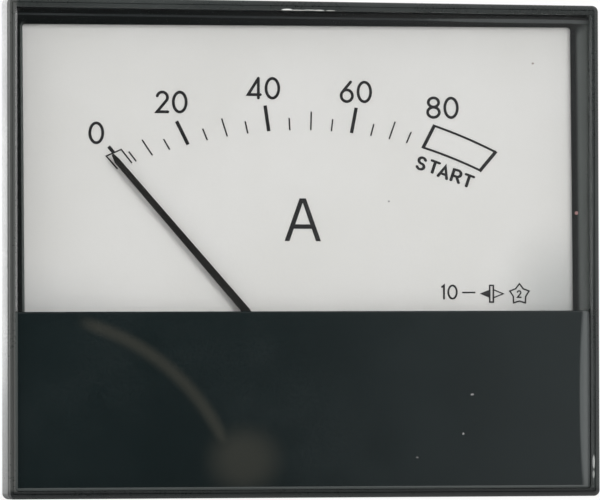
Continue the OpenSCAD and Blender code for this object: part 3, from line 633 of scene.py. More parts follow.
dial_finish = Finish("dial_white", (0.80, 0.795, 0.78), 0.55)
grain = dial_finish.group("fine_grain", Scale=2200.0)
dial_finish.tint(grain["Cloud"] * 0.5 + 0.5, DIAL_CLOUD)
dial_finish.spots(DIAL_PAINTED_SHADE, ragged=0.0, soft=1.8)
dial_finish.spots(DIAL_SPECKS)
dial_finish.wear([(grain["Grain"], 0.06)])
dial_finish.bump(grain["Grain"], 3e-6)

for finish in (moulded("print_black", (0.018, 0.018, 0.019), 0.55, scuff=0.0),
               moulded("pointer_black", (0.013, 0.013, 0.012), 0.5, scuff=0.0)):
    feed(finish.shader, {"Specular IOR Level": INK_MIRROR})

# The pane's left and lower edges are ground, so they are a little milky
pane_finish = Finish("window_clear", (0.975, 0.977, 0.972), 0.02, IOR=PANE_INDEX)
clearness = 1.0 - ground_edge(pane_finish) * PANE_FROST
feed(pane_finish.shader, {"Transmission Weight": clearness, "Specular IOR Level": PANE_MIRROR})
pane_finish.bump(pane_finish.group("fine_grain", Scale=900.0)["Grain"], 2e-8)
# Glass would block lamps, so rays that only look for a lamp pass it by a Transparent shader
tree = pane_finish.tree
rays = Outputs(add(tree, "ShaderNodeLightPath"))
glass = mixed(rays["Is Shadow Ray"], pane_finish.shader, add(tree, "ShaderNodeBsdfTransparent"))
feed(tree.nodes["Material Output"], {"Surface": glass})

jewel_finish = Finish("jewel_red", (0.75, 0.06, 0.12), 0.05, IOR=JEWEL_INDEX)
feed(jewel_finish.shader, {"Transmission Weight": 0.7})
grain = jewel_finish.group("fine_grain", Scale=3000.0)
jewel_finish.tint(grain["Cloud"] * 0.3, (0.5, 0.02, 0.08))
print("finishes:", len(finishes))

# %% [markdown]
# ## Mesh helpers
# The mouldings are rectangles with round corners whose edges are broken by small radii. Such a form is a
# skin over a stack of rings, so every radius is a named size and the corners stay clean. Pieces whose
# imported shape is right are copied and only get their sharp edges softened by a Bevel.

# %% Skins over rings
CORNER_STEPS = 6
SMOOTH_ANGLE = math.radians(32)
MERGE_SKIN = 1e-7


def ring(half_w, half_h, radius, y, centre_z=0.0):
    """Points round a rectangle with round corners, at a depth."""
    points = []
    for quarter, (sx, sz) in enumerate(((1, 1), (-1, 1), (-1, -1), (1, -1))):
        for step in range(CORNER_STEPS + 1):
            angle = math.pi / 2 * (quarter + step / CORNER_STEPS)
            x = sx * (half_w - radius) + radius * math.cos(angle)
            z = sz * (half_h - radius) + radius * math.sin(angle)
            points.append(Vector((x, y, centre_z + z)))
    return points


def solid_object(name, shape):
    """Makes a scene object of a bmesh, with its faces outwards and shaded smooth up to an angle."""
    bmesh.ops.remove_doubles(shape, verts=shape.verts, dist=MERGE_SKIN)
    bmesh.ops.recalc_face_normals(shape, faces=shape.faces)
    mesh = bpy.data.meshes.new(name)
    shape.to_mesh(mesh)
    shape.free()
    mesh.set_sharp_from_angle(angle=SMOOTH_ANGLE)
    return new_object(name, mesh)


def wrap(shape, rows, closed):
    """Joins rows of equally many vertices by faces. An open stack is capped at both ends."""
    pairs = list(zip(rows, rows[1:]))
    if closed:
        pairs.append((rows[-1], rows[0]))
    for first, second in pairs:
        for i in range(len(first)):
            j = (i + 1) % len(first)
            shape.faces.new((first[i], first[j], second[j], second[i]))
    if not closed:
        shape.faces.new(rows[0])
        shape.faces.new(rows[-1])


def skin(name, rings, closed=False):
    """A skin over a stack of rings."""
    shape = bmesh.new()
    wrap(shape, [[shape.verts.new(point) for point in points] for points in rings], closed)
    return solid_object(name, shape)


def plain(thing):
    """Turns an object with modifiers into a plain mesh."""
    graph = bpy.context.evaluated_depsgraph_get()
    mesh = bpy.data.meshes.new_from_object(thing.evaluated_get(graph), depsgraph=graph)
    thing.modifiers.clear()
    thing.data = mesh
    return thing


def joined(first, *others):
    """Adds the meshes of other objects to the first one's."""
    shape = bmesh.new()
    for thing in (first, *others):
        shape.from_mesh(thing.data)
    for thing in others:
        bpy.data.objects.remove(thing)
    shape.to_mesh(first.data)
    shape.free()
    first.data.set_sharp_from_angle(angle=SMOOTH_ANGLE)
    return first


def change(thing, kind, **settings):
    """Gives an object a modifier with its settings."""
    modifier = thing.modifiers.new(kind.lower(), kind)
    for name, value in settings.items():
        setattr(modifier, name, value)


def cut(thing, tool):
    """Takes the tool's shape out of an object."""
    change(thing, "BOOLEAN", operation="DIFFERENCE", solver="EXACT", object=tool)
    plain(thing)
    bpy.data.objects.remove(tool)
    thing.data.set_sharp_from_angle(angle=SMOOTH_ANGLE)
    return thing


def dress(thing, slot, body="housing", stands_for=None):
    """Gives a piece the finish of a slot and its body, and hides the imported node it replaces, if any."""
    thing.data.materials.clear()
    thing.data.materials.append(finishes[slot].material)
    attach(thing, body)
    if stands_for:
        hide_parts(stands_for)
    print(f"{thing.name}: {len(thing.data.polygons)} faces, {slot}")
    return thing


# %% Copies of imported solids
MERGE = 1e-6
FLAT_ANGLE = math.radians(0.5)


def packed_copy(node):
    """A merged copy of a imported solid's mesh, with its flat areas as single faces."""
    shape = bmesh.new()
    shape.from_mesh(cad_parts[node].data)
    bmesh.ops.remove_doubles(shape, verts=shape.verts, dist=MERGE)
    bmesh.ops.dissolve_limit(shape, angle_limit=FLAT_ANGLE, verts=shape.verts, edges=shape.edges)
    return shape


def soften(thing, width, segments=2):
    """Rounds an object's sharp edges by a width."""
    change(thing, "BEVEL", width=width, segments=segments, limit_method="ANGLE", angle_limit=SMOOTH_ANGLE,
           use_clamp_overlap=True)
    plain(thing)
    thing.data.set_sharp_from_angle(angle=SMOOTH_ANGLE)
    return thing


# %% [markdown]
# ## Front frame
# The frame is one moulding: side walls, a narrow rim with a round outer edge and a fine groove, a pocket for
# the pane and the mask, a ledge that carries them, and an opening with a large round edge. The rim is a fifth
# of a millimetre wider at the top, and the opening lies turned by a fraction of a degree. The section is
# drawn once as a list of rings and joined end to end. Box modelling with bevels would give the same form
# with less control over the rim, which is about a millimetre wide and is what the eye follows.

# %% Front frame
RIM = 1.0 * MM
RIM_ROUND = 0.40 * MM
RIM_TURN = 80
RIM_STEPS = 4
POCKET_DROP = 0.11 * MM
RIM_BREAK = 0.07 * MM
RIM_LINE = 0.09 * MM
RIM_LINE_AT = 0.66 * MM
FRAME_CORNER = 0.8 * MM
SHARPEST = 0.1 * MM
POCKET_CORNER = 0.4 * MM
OPENING_CORNER = 0.4 * MM
OPENING_ROUND = 1.25 * MM
OPENING_STEPS = 6
OPENING_TILT = math.radians(0.4)
OPENING_SHIFT = Vector((0.01, 0, 0.0)) * MM
OPENING_TRIM = 0.18 * MM
DIAL_GAP = 0.25 * MM

frame_low, frame_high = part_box("front_frame")
pane_low, pane_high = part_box("window_pane")
mask_low, mask_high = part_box("lower_mask")
case_low, case_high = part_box("rear_case")
dial_low, dial_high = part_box("dial_plate")
half_w, half_h = frame_high.x, frame_high.z
rim_y = frame_low.y
back_y = case_low.y
ledge_y = pane_high.y
pocket = (half_w - RIM, half_h - RIM - POCKET_DROP)
opening = (dial_high.x + DIAL_GAP - OPENING_TRIM, dial_high.z + DIAL_GAP)


def rim_ring(inset, y):
    """A ring of the frame, inset from its outer walls."""
    return ring(half_w - inset, half_h - inset, max(FRAME_CORNER - inset, SHARPEST), y)


def pocket_ring(reach, y):
    """A ring of the pocket, reaching out from its walls."""
    return ring(pocket[0] + reach, pocket[1] + reach, POCKET_CORNER, y, -POCKET_DROP)


def opening_ring(reach, y):
    """A ring of the opening, reaching out from its walls."""
    points = ring(opening[0] + reach, opening[1] + reach, OPENING_CORNER + reach, y)
    turn = Matrix.Rotation(-OPENING_TILT, 3, "Y")
    return [turn @ point + OPENING_SHIFT for point in points]


section = [rim_ring(0, back_y)]
for step in range(RIM_STEPS + 1):
    angle = math.radians(RIM_TURN * step / RIM_STEPS)
    section.append(rim_ring(RIM_ROUND * (1 - math.cos(angle)), rim_y + RIM_ROUND * (1 - math.sin(angle))))
section += [
    rim_ring(RIM_LINE_AT - RIM_LINE / 2, rim_y),
    rim_ring(RIM_LINE_AT, rim_y + RIM_LINE),
    rim_ring(RIM_LINE_AT + RIM_LINE / 2, rim_y),
    *(pocket_ring(RIM_BREAK * out, rim_y + RIM_BREAK * deep) for out, deep in
      ((1, 0), (0.5, 0.14), (0.14, 0.5), (0, 1))),
    pocket_ring(0, ledge_y),
]
for step in range(OPENING_STEPS + 1):
    angle = math.radians(90 * step / OPENING_STEPS)
    reach, depth = OPENING_ROUND * (1 - math.sin(angle)), OPENING_ROUND * (1 - math.cos(angle))
    section.append(opening_ring(reach, ledge_y + depth))
section.append(opening_ring(0, back_y))
frame_piece = skin("frame_moulding", section, closed=True)
print("frame section rings:", len(section))

# %% [markdown]
# The dial behind the opening is a painted sheet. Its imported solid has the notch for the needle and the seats
# of its screws, so a copy keeps them, and only its three outer edges are drawn out to the frame's walls.

# %% Dial
DIAL_REACH = Vector((0.45, 0, 0.70)) * MM

shape = packed_copy("dial_plate")
for vert in shape.verts:
    for axis in (0, 2):
        if vert.co[axis] > dial_high[axis] - DIAL_GAP:
            vert.co[axis] += DIAL_REACH[axis]
    if vert.co.x < dial_low.x + DIAL_GAP:
        vert.co.x -= DIAL_REACH.x
dial_piece = solid_object("dial_sheet", shape)
dress(dial_piece, "dial_white", stands_for="dial_plate")

# %% [markdown]
# Four lugs on the frame's back locate it on the case, and a small blind hole in each side wall takes
# the tool that prises it off. The lugs are thin blocks joined to the moulding, and the holes are cut by
# a Boolean, because they open in a flat wall.

# %% Lugs and prising holes
LUG = Vector((8.0, 3.0, 0.7)) * MM
LUG_X = 22 * MM
PRISE_HOLE = 1.05 * MM
PRISE_DEPTH = 1.2 * MM
PRISE_RISE = 1.0 * MM


def block(name, middle, size):
    """A closed box of a size round a middle point, for a lug."""
    shape = bmesh.new()
    bmesh.ops.create_cube(shape, matrix=Matrix.Translation(middle) @ Matrix.Diagonal((*size, 1)))
    return solid_object(name, shape)


def bar(name, start, end, radius, sides=24):
    """A closed round bar between two points."""
    run = end - start
    turn = run.to_track_quat("Z", "Y").to_matrix().to_4x4()
    shape = bmesh.new()
    bmesh.ops.create_cone(shape, cap_ends=True, segments=sides, radius1=radius, radius2=radius,
                          depth=run.length, matrix=Matrix.Translation((start + end) / 2) @ turn)
    return solid_object(name, shape)


lug_z = (opening[1] + case_high.z) / 2
lug_y = frame_high.y - LUG.y / 2
for side in (-1, 1):
    ends = [Vector((side * (half_w + out), 0, back_y - PRISE_RISE)) for out in (PRISE_DEPTH, -PRISE_DEPTH)]
    cut(frame_piece, bar("hole_tool", *ends, PRISE_HOLE / 2))
lugs = [block("lug", Vector((sx * LUG_X, lug_y, sz * lug_z)), LUG) for sx in (-1, 1) for sz in (-1, 1)]
joined(frame_piece, *lugs)
dress(frame_piece, "frame_black", stands_for="front_frame")

# %% [markdown]
# ## Pane and mask
# The clear pane covers the dial, and the polished black mask under it covers the movement. Both lie on the
# ledge with a hair's breadth to the rim, and the light catches their front edges: a flat bevel on the pane,
# as sawn sheet has, and a soft moulded radius on the mask. Their left and right margins fall off slightly
# towards the rim, and the joint between them lies turned by a quarter of a degree.

# %% Pane and mask
INSERT_GAP = 0.03 * MM
INSERT_CORNER = 0.4 * MM
JOINT_Z = -8.10 * MM
JOINT_TILT = math.radians(0.24)
PANE_BEVEL = 0.2 * MM
SIDE_SLOPE = 0.75 * MM
SIDE_FALL = 0.05 * MM
MASK_ROUND = 0.2 * MM
MASK_FOOT_ROUND = 0.25 * MM
MASK_TOP_ROUND = 0.2 * MM
FLAT_MARGIN = 0.05 * MM
SEAT_SLIT = 0.02 * MM

insert_w = pocket[0] - INSERT_GAP
insert_top = pocket[1] - POCKET_DROP - INSERT_GAP
insert_foot = -pocket[1] - POCKET_DROP + INSERT_GAP


def insert_ring(y, side_inset, low, high, joint):
    """A ring of a plate in the pocket. The edge near the joint of pane and mask lies slightly turned."""
    points = ring(insert_w - side_inset, (high - low) / 2, INSERT_CORNER, y, (high + low) / 2)
    far = low if joint == high else high
    for point in points:
        point.z += point.x * math.tan(JOINT_TILT) * (point.z - far) / (joint - far)
    return points


pane = skin("clear_pane", [
    insert_ring(pane_high.y - SEAT_SLIT, 0, JOINT_Z, insert_top, JOINT_Z),
    insert_ring(pane_low.y + SIDE_FALL + PANE_BEVEL, 0, JOINT_Z, insert_top, JOINT_Z),
    insert_ring(pane_low.y + SIDE_FALL, PANE_BEVEL, JOINT_Z, insert_top - PANE_BEVEL, JOINT_Z),
    insert_ring(pane_low.y, PANE_BEVEL + SIDE_SLOPE, JOINT_Z, insert_top - PANE_BEVEL, JOINT_Z),
])
dress(pane, "window_clear", stands_for="window_pane")


def mask_ring(angle):
    """A ring on the mask's rounded edge, from the side wall at 0 to the sloping margin at 90 degrees."""
    inset = 1 - math.cos(math.radians(angle))
    y = mask_low.y + SIDE_FALL + MASK_ROUND * (1 - math.sin(math.radians(angle)))
    low, high = insert_foot + MASK_FOOT_ROUND * inset, JOINT_Z - MASK_TOP_ROUND * inset
    return insert_ring(y, MASK_ROUND * inset, low, high, high)


def mask_face(slope, y):
    """A ring where the margin's slope ends, or just inside it."""
    inset = slope - SIDE_SLOPE
    low, high = insert_foot + MASK_FOOT_ROUND + inset, JOINT_Z - MASK_TOP_ROUND - inset
    return insert_ring(y, MASK_ROUND + slope, low, high, high)


mask_back = insert_ring(mask_high.y - SEAT_SLIT, 0, insert_foot, JOINT_Z, JOINT_Z)
mask_front = [mask_ring(15 * step) for step in range(7)]
mask_faces = [mask_face(SIDE_SLOPE, mask_low.y), mask_face(SIDE_SLOPE + FLAT_MARGIN, mask_low.y)]
mask_piece = skin("mask_moulding", [mask_back, *mask_front, *mask_faces])
dress(mask_piece, "mask_black", stands_for="lower_mask")

# %% [markdown]
# ## Case
# The case behind the panel is a deep moulding: a tray for the dial and a round body for the movement. Its
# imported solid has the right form, so a copy gets its sharp moulded edges rounded by two tenths of a
# millimetre. The tray is eased for the dial sheet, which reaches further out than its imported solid.

# %% Case
CASE_EDGE = 0.2 * MM
TRAY_EASE = 0.05 * MM
TRAY_CORNER = 0.6 * MM

tray = (dial_high.x + DIAL_REACH.x + TRAY_EASE, dial_high.z + DIAL_REACH.z + TRAY_EASE)
tray_rings = [ring(*tray, TRAY_CORNER, y) for y in (back_y - DIAL_GAP, dial_high.y)]
tray_tool = skin("tray_tool", tray_rings)
case_piece = cut(solid_object("case_moulding", packed_copy("rear_case")), tray_tool)
soften(case_piece, CASE_EDGE)
dress(case_piece, "case_black", stands_for="rear_case")

# %% [markdown]
# ## Scale
# A moving-magnet meter has no even scale: the needle's angle follows the arctangent of the current. The marks
# follow that law, so Geometry Nodes set them out from a few numbers. Every mark is one bar, placed
# on the arc and turned towards the pivot. The tens are longer, and the twenties longer still and bolder.

# %% Geometry node helpers
def finish_tree(geometry, given, put):
    """Ends a tree in Realize Instances and Set Material."""
    real = add(put.id_data, "GeometryNodeRealizeInstances", {0: geometry})
    inputs = {"Geometry": real, "Material": given["Material"]}
    feed(put, {0: add(put.id_data, "GeometryNodeSetMaterial", inputs)})


def grown(name, group, **values):
    """An object that a tree makes. Each value goes to the input of that name, by its identifier."""
    thing = new_object(name, bpy.data.meshes.new(name))
    modifier = thing.modifiers.new(group.name, "NODES")
    modifier.node_group = group
    for item in group.interface.items_tree:
        key = item.name.lower().replace(" ", "_")
        if item.in_out == "INPUT" and key in values:
            modifier[item.identifier] = values[key]
    return plain(thing)


# %% The scale's law and its marks
LAW_TURN = math.radians(-3.9)
LAW_CENTRE = 44.5
LAW_SPREAD = 57.8
ARC_NEAR = 33.0 * MM
ARC_DROP = 29.5 * MM
MARK_LONG = 3.4 * MM
MARK_MIDDLE = 2.45 * MM
MARK_SHORT = 1.6 * MM
MARK_BOLD = 0.45 * MM
MARK_FINE = 0.18 * MM
SCALE_STEP = 5.0
SCALE_MARKS = 15

marks_low, marks_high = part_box("scale_marks")
print_y = marks_low.y
print_t = marks_high.y - marks_low.y
staff_low, staff_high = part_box("pivot_staff")
pivot = Vector(((staff_low.x + staff_high.x) / 2, 0, (staff_low.z + staff_high.z) / 2))

scale_tree, given, put = node_group("scale_marks", "GeometryNodeTree", [
    ("Marks", "Int", SCALE_MARKS), ("Step", "Float", SCALE_STEP), ("Turn", "Float", LAW_TURN),
    ("Centre", "Float", LAW_CENTRE), ("Spread", "Float", LAW_SPREAD), ("Near", "Float", ARC_NEAR),
    ("Drop", "Float", ARC_DROP), ("Long", "Float", MARK_LONG), ("Middle", "Float", MARK_MIDDLE),
    ("Short", "Float", MARK_SHORT), ("Bold", "Float", MARK_BOLD), ("Fine", "Float", MARK_FINE),
    ("Thickness", "Float", 0.06 * MM), ("Pivot", "Vector"), ("Material", "Material"),
], [("Geometry", "Geometry")])
points = add(scale_tree, "GeometryNodeMeshLine", {"Count": given["Marks"], "Offset": (0, 0, 0)})
index = Term(add(scale_tree, "GeometryNodeInputIndex").outputs[0])
value = (index + 1.0) * given["Step"]
angle = calc("ARCTANGENT", (value - given["Centre"]) / given["Spread"]) + given["Turn"]
sine, cosine = calc("SINE", angle), calc("COSINE", angle)
radius = calc("SQRT", (given["Near"] + given["Drop"]) ** 2.0 - (given["Drop"] * sine) ** 2.0)
radius = radius - given["Drop"] * cosine
ten, twenty = (calc("LESS_THAN", calc("MODULO", value, every), 0.5) for every in (10.0, 20.0))
length = given["Short"] + ten * (given["Middle"] - given["Short"])
length = length + twenty * (given["Long"] - given["Middle"])
width = given["Fine"] + twenty * (given["Bold"] - given["Fine"])
middle = radius + length * 0.5
place = add(scale_tree, "ShaderNodeCombineXYZ", {"X": sine * middle, "Z": cosine * middle})
moved = add(scale_tree, "GeometryNodeSetPosition",
            {"Geometry": points, "Position": place, "Offset": given["Pivot"]})
laid = add(scale_tree, "GeometryNodeInstanceOnPoints", {
    "Points": moved,
    "Instance": add(scale_tree, "GeometryNodeMeshCube"),
    "Rotation": add(scale_tree, "ShaderNodeCombineXYZ", {"Y": angle}),
    "Scale": add(scale_tree, "ShaderNodeCombineXYZ", {"X": width, "Y": given["Thickness"], "Z": length}),
})
finish_tree(laid, given, put)

on_dial = Vector((pivot.x, print_y + print_t / 2, pivot.z))
marks = grown("scale_print", scale_tree, thickness=print_t, pivot=tuple(on_dial),
              material=finishes["print_black"].material)
print("scale marks:", len(marks.data.polygons) // 6)

# %% [markdown]
# ## Lettering
# The numerals and signs are drawn with a round pen of even width, as engraved and printed scales are. Each
# stroke is a path, widened to a ribbon and given the thickness of the ink. Strokes that cross are united
# by a Boolean, so that a sign is one clean solid. A font would bring a typeface that isn't this one.

# %% Pen strokes
PEN = 0.125
BOLD_PEN = 0.175
CAP_STEPS = 5


def oval(centre, radii, start=0.0, end=360.0, steps=30):
    """Points along an oval, anticlockwise for a rising angle. A whole oval leaves its last point out."""
    count = steps if abs(end - start) >= 360 else steps + 1
    turns = [math.radians(start + (end - start) * i / steps) for i in range(count)]
    return [Vector((centre[0] + radii[0] * math.cos(a), centre[1] + radii[1] * math.sin(a))) for a in turns]


def path(*points):
    """A path of straight lines."""
    return [Vector(point) for point in points]


def stations(points, width, closed, round_ends):
    """Centre, sideways direction and half width along a stroke, with mitred corners."""
    found = []
    count = len(points)
    for i, point in enumerate(points):
        before = points[i - 1] if closed or i > 0 else None
        after = points[(i + 1) % count] if closed or i < count - 1 else None
        arrive = (point - before).normalized() if before is not None else None
        leave = (after - point).normalized() if after is not None else None
        ways = [way for way in (arrive, leave) if way is not None]
        run = sum(ways, Vector((0, 0))).normalized()
        mitre = 1 / max(run.dot(ways[0]), 0.4)
        found.append((point, Vector((-run.y, run.x)), width / 2 * mitre))
    if not closed and round_ends:
        for end, way in ((0, -1), (-1, 1)):
            point, side, half = found[end]
            ahead = Vector((side.y, -side.x)) * way
            cap = []
            for step in range(1, CAP_STEPS + 1):
                angle = math.pi / 2 * step / CAP_STEPS
                reach = width / 2 * max(math.cos(angle), 0.02)
                cap.append((point + ahead * (width / 2 * math.sin(angle)), side, reach))
            found = cap[::-1] + found if end == 0 else found + cap
    return found


def stroke(points, width, closed=False, round_ends=True):
    """One pen stroke as a solid of unit thickness behind the plane y = 0."""
    shape = bmesh.new()
    rows = []
    for centre, side, half in stations(points, width, closed, round_ends):
        left, right = centre + side * half, centre - side * half
        corners = ((left, 0), (right, 0), (right, 1), (left, 1))
        rows.append([shape.verts.new((p.x, depth, p.y)) for p, depth in corners])
    wrap(shape, rows, closed)
    return solid_object("stroke", shape)


def flat_shape(points):
    """A filled outline as a solid of unit thickness."""
    shape = bmesh.new()
    faces = [shape.faces.new([shape.verts.new((p[0], depth, p[1])) for p in points]) for depth in (0, 1)]
    near, far = (list(face.verts) for face in faces)
    for i in range(len(points)):
        j = (i + 1) % len(points)
        shape.faces.new((near[i], near[j], far[j], far[i]))
    return solid_object("shape", shape)


def united(strokes):
    """Unites the solids of one sign."""
    first, *others = strokes
    for other in others:
        change(first, "BOOLEAN", operation="UNION", solver="EXACT", object=other)
    if others:
        plain(first)
    for other in others:
        bpy.data.objects.remove(other)
    return first


# %% Characters
def character(name, pen):
    """A character of height 1 on the baseline, drawn with a pen of a width: its own width and its strokes."""
    low, high = pen / 2, 1 - pen / 2

    def drawn(points, closed=False):
        return stroke(points, pen, closed)

    if name == "0":
        return 0.71, [drawn(oval((0.355, 0.5), (0.2925, 0.4375)), closed=True)]
    if name == "1":
        return 0.30, [drawn(path((0.0625, 0.84), (0.19, high), (0.19, low)))]
    if name == "2":
        hook = oval((0.30, 0.70), (0.2375, 0.2375), 165, -28, 18)
        return 0.61, [drawn(hook + path((low, low), (0.55, low)))]
    if name == "4":
        return 0.69, [drawn(path((0.53, low), (0.53, high))),
                      drawn(path((0.53, high), (low, 0.21), (0.62, 0.21)))]
    if name == "6":
        return 0.65, [drawn(oval((0.3225, 0.3225), (0.26, 0.26)), closed=True),
                      drawn(path((0.50, high), (0.123, 0.4896)))]
    if name == "8":
        return 0.67, [drawn(oval((0.335, 0.733), (0.24, 0.2045)), closed=True),
                      drawn(oval((0.335, 0.290), (0.2725, 0.2275)), closed=True)]
    if name == "S":
        top = oval((0.27, 0.715), (0.20, 0.2225), 25, 268, 14)
        bottom = oval((0.27, 0.28), (0.21, 0.2175), 90, -155, 14)
        return 0.54, [drawn(top + bottom)]
    if name == "T":
        return 0.62, [drawn(path((low, high), (0.56, high))), drawn(path((0.31, high), (0.31, low)))]
    if name == "A":
        return 0.68, [drawn(path((low, low), (0.34, high), (0.62, low))),
                      drawn(path((0.16, 0.33), (0.52, 0.33)))]
    if name == "R":
        bowl = path((0.0625, low), (0.0625, high)) + oval((0.33, 0.70), (0.2, 0.2375), 90, -90, 12)
        return 0.60, [drawn(bowl + path((0.0625, 0.4625))), drawn(path((0.32, 0.4625), (0.54, low)))]
    raise ValueError(name)


def alphabet(names, pen):
    """Characters drawn with one pen: for each name its width and its sign."""
    found = {}
    for name in names:
        width, strokes = character(name, pen)
        found[name] = (width, united(strokes))
    return found


numerals = alphabet("012468", PEN)
bold = alphabet("2STAR", BOLD_PEN)
print("characters:", "".join(numerals), "".join(bold))

# %% Setting characters on the dial
LETTER_GAP = 0.13


def printed(source, x, z, height, turn=0.0, widen=1.0):
    """A copy of a united sign on the dial, with its baseline corner at x, z and turned clockwise."""
    shape = bmesh.new()
    shape.from_mesh(source.data)
    place = Matrix.Translation((x, print_y, z)) @ Matrix.Rotation(turn, 4, "Y")
    shape.transform(place @ Matrix.Diagonal((height * widen, print_t, height, 1)))
    return solid_object("print", shape)


def word(text, x, z, height, gap=LETTER_GAP, letters=numerals):
    """Characters in a row, centred on a point."""
    wide = sum(letters[c][0] for c in text) + gap * (len(text) - 1)
    start = x - wide * height / 2
    pieces = []
    for c in text:
        pieces.append(printed(letters[c][1], start, z - height / 2, height))
        start += (letters[c][0] + gap) * height
    return pieces


def angle_of(value):
    """Angle of the needle, clockwise from straight up, for a value."""
    return LAW_TURN + math.atan((value - LAW_CENTRE) / LAW_SPREAD)


def arc_at(angle):
    """Distance from the pivot to the scale's arc at an angle."""
    reach = math.sqrt((ARC_NEAR + ARC_DROP) ** 2 - (ARC_DROP * math.sin(angle)) ** 2)
    return reach - ARC_DROP * math.cos(angle)


def over_arc(angle, rise):
    """A point over the scale's arc, as x and z on the dial."""
    reach = arc_at(angle) + rise
    return Vector((pivot.x + reach * math.sin(angle), pivot.z + reach * math.cos(angle)))


NUMERAL = 2.95 * MM
# For each value: how far its numeral stands over the arc, and how far it is set along it, in mm
NUMERAL_PLACES = {0: (5.68, 0.5), 20: (6.04, 0.54), 40: (5.69, 0.12), 60: (5.49, -0.44), 80: (5.93, -0.04)}
signs = []
for value, (rise, aside) in NUMERAL_PLACES.items():
    angle = angle_of(value)
    spot = over_arc(angle + aside * MM / (arc_at(angle) + rise * MM), rise * MM)
    signs += word(str(value), spot.x, spot.y, NUMERAL)

# %% The starting zone and the zero bracket
ZONE_FROM = math.radians(27.75)
ZONE_TO = math.radians(40.8)
ZONE_SINK = 0.30 * MM
ZONE_STEPS = 8
ZONE_HEIGHT = 3.25 * MM
ZONE_LINE = 0.28 * MM
ZERO_MARK = math.radians(-40.7)
BRACKET_WIDTH = 2.1 * MM
BRACKET_HEIGHT = 2.25 * MM
ZERO_LENGTH = 1.05 * MM


def inked(thing):
    """Gives a sign drawn at its own place on the dial the thickness of the ink."""
    thing.data.transform(Matrix.Translation((0, print_y, 0)) @ Matrix.Diagonal((1, print_t, 1, 1)))
    return thing


def line(points, width, closed=False):
    """A printed line with flat ends along points on the dial."""
    return inked(stroke(points, width, closed, round_ends=False))


# The zone's outer end sinks a little below the arc
zone = []
for rise in (0, ZONE_HEIGHT):
    curve = [over_arc(ZONE_FROM + (ZONE_TO - ZONE_FROM) * i / ZONE_STEPS, rise - ZONE_SINK * i / ZONE_STEPS)
             for i in range(ZONE_STEPS + 1)]
    zone.append(line(curve, ZONE_LINE))
for angle, sink in ((ZONE_FROM, 0), (ZONE_TO, ZONE_SINK)):
    low = over_arc(angle, -ZONE_LINE / 2 - sink)
    high = over_arc(angle, ZONE_HEIGHT + ZONE_LINE / 2 - sink)
    zone.append(line([low, high], MARK_BOLD))
signs.append(united(zone))

aside = math.asin(BRACKET_WIDTH / 2 / (arc_at(ZERO_MARK) + BRACKET_HEIGHT))
left, right = ZERO_MARK - aside, ZERO_MARK + aside
corners = ((left, 0), (left, BRACKET_HEIGHT), (right, BRACKET_HEIGHT), (right, 0))
bracket = [over_arc(*corner) for corner in corners]
tick = [over_arc(ZERO_MARK, BRACKET_HEIGHT), over_arc(ZERO_MARK, BRACKET_HEIGHT + ZERO_LENGTH)]
signs.append(united([line(bracket, MARK_FINE), line(tick, MARK_BOLD)]))

# %% Words and signs
START_HEIGHT = 1.8 * MM
START_SLOPE = math.radians(19)
START_WIDE = 1.28
UNIT_HEIGHT = 5.61 * MM
UNIT_SPOT = (0.27 * MM, 4.02 * MM)
# The unit's letter: half its width at the foot and at the top, and the width of a leg
UNIT_FOOT = 2.46 * MM
UNIT_APEX = 0.42 * MM
UNIT_LEG = 0.66 * MM
UNIT_LEG_TOP = 0.93 * UNIT_LEG
# Its crossbar: its height and half its thickness, and half its length below and above
UNIT_BAR_Z = 0.34 * UNIT_HEIGHT
UNIT_BAR_HALF = 0.29 * MM
UNIT_BAR_LOW = 1.75 * MM
UNIT_BAR_HIGH = 1.35 * MM
CLASS_HEIGHT = 1.98 * MM
CLASS_SPOT = (20.28 * MM, -5.40 * MM)
DIRECT_FROM = (22.02 * MM, -5.45 * MM)
DIRECT_TO = (23.85 * MM, -5.45 * MM)
SIGN_LINE = 0.2 * MM
SIGN_ROW = -5.6 * MM

# The letters of the word stand on a slope, at places from the pivot in mm
START_PLACES = ((15.97, 28.74), (17.68, 28.27), (19.05, 27.65), (20.77, 27.11), (22.37, 26.49))
for letter, (dx, dz) in zip("START", START_PLACES):
    wide, source = bold[letter]
    corner = Vector((-wide / 2 * START_WIDE, -0.5)) * START_HEIGHT
    corner.rotate(Matrix.Rotation(-START_SLOPE, 2))
    spot = Vector((pivot.x + dx * MM, pivot.z + dz * MM)) + corner
    signs.append(printed(source, spot.x, spot.y, START_HEIGHT, START_SLOPE, START_WIDE))

legs = [flat_shape([(s * UNIT_FOOT, 0), (s * (UNIT_FOOT - UNIT_LEG), 0),
                    (s * (UNIT_APEX - UNIT_LEG_TOP), UNIT_HEIGHT), (s * UNIT_APEX, UNIT_HEIGHT)])
        for s in (-1, 1)]
bar_low, bar_high = UNIT_BAR_Z - UNIT_BAR_HALF, UNIT_BAR_Z + UNIT_BAR_HALF
crossbar = flat_shape([(-UNIT_BAR_LOW, bar_low), (UNIT_BAR_LOW, bar_low),
                       (UNIT_BAR_HIGH, bar_high), (-UNIT_BAR_HIGH, bar_high)])
unit_sign = united([*legs, crossbar])
signs.append(printed(unit_sign, UNIT_SPOT[0], UNIT_SPOT[1] - UNIT_HEIGHT / 2, 1.0))
bpy.data.objects.remove(unit_sign)

# The accuracy class and the bar for direct current beside it
signs += word("10", *CLASS_SPOT, CLASS_HEIGHT)
signs.append(line(path(DIRECT_FROM, DIRECT_TO), SIGN_LINE))

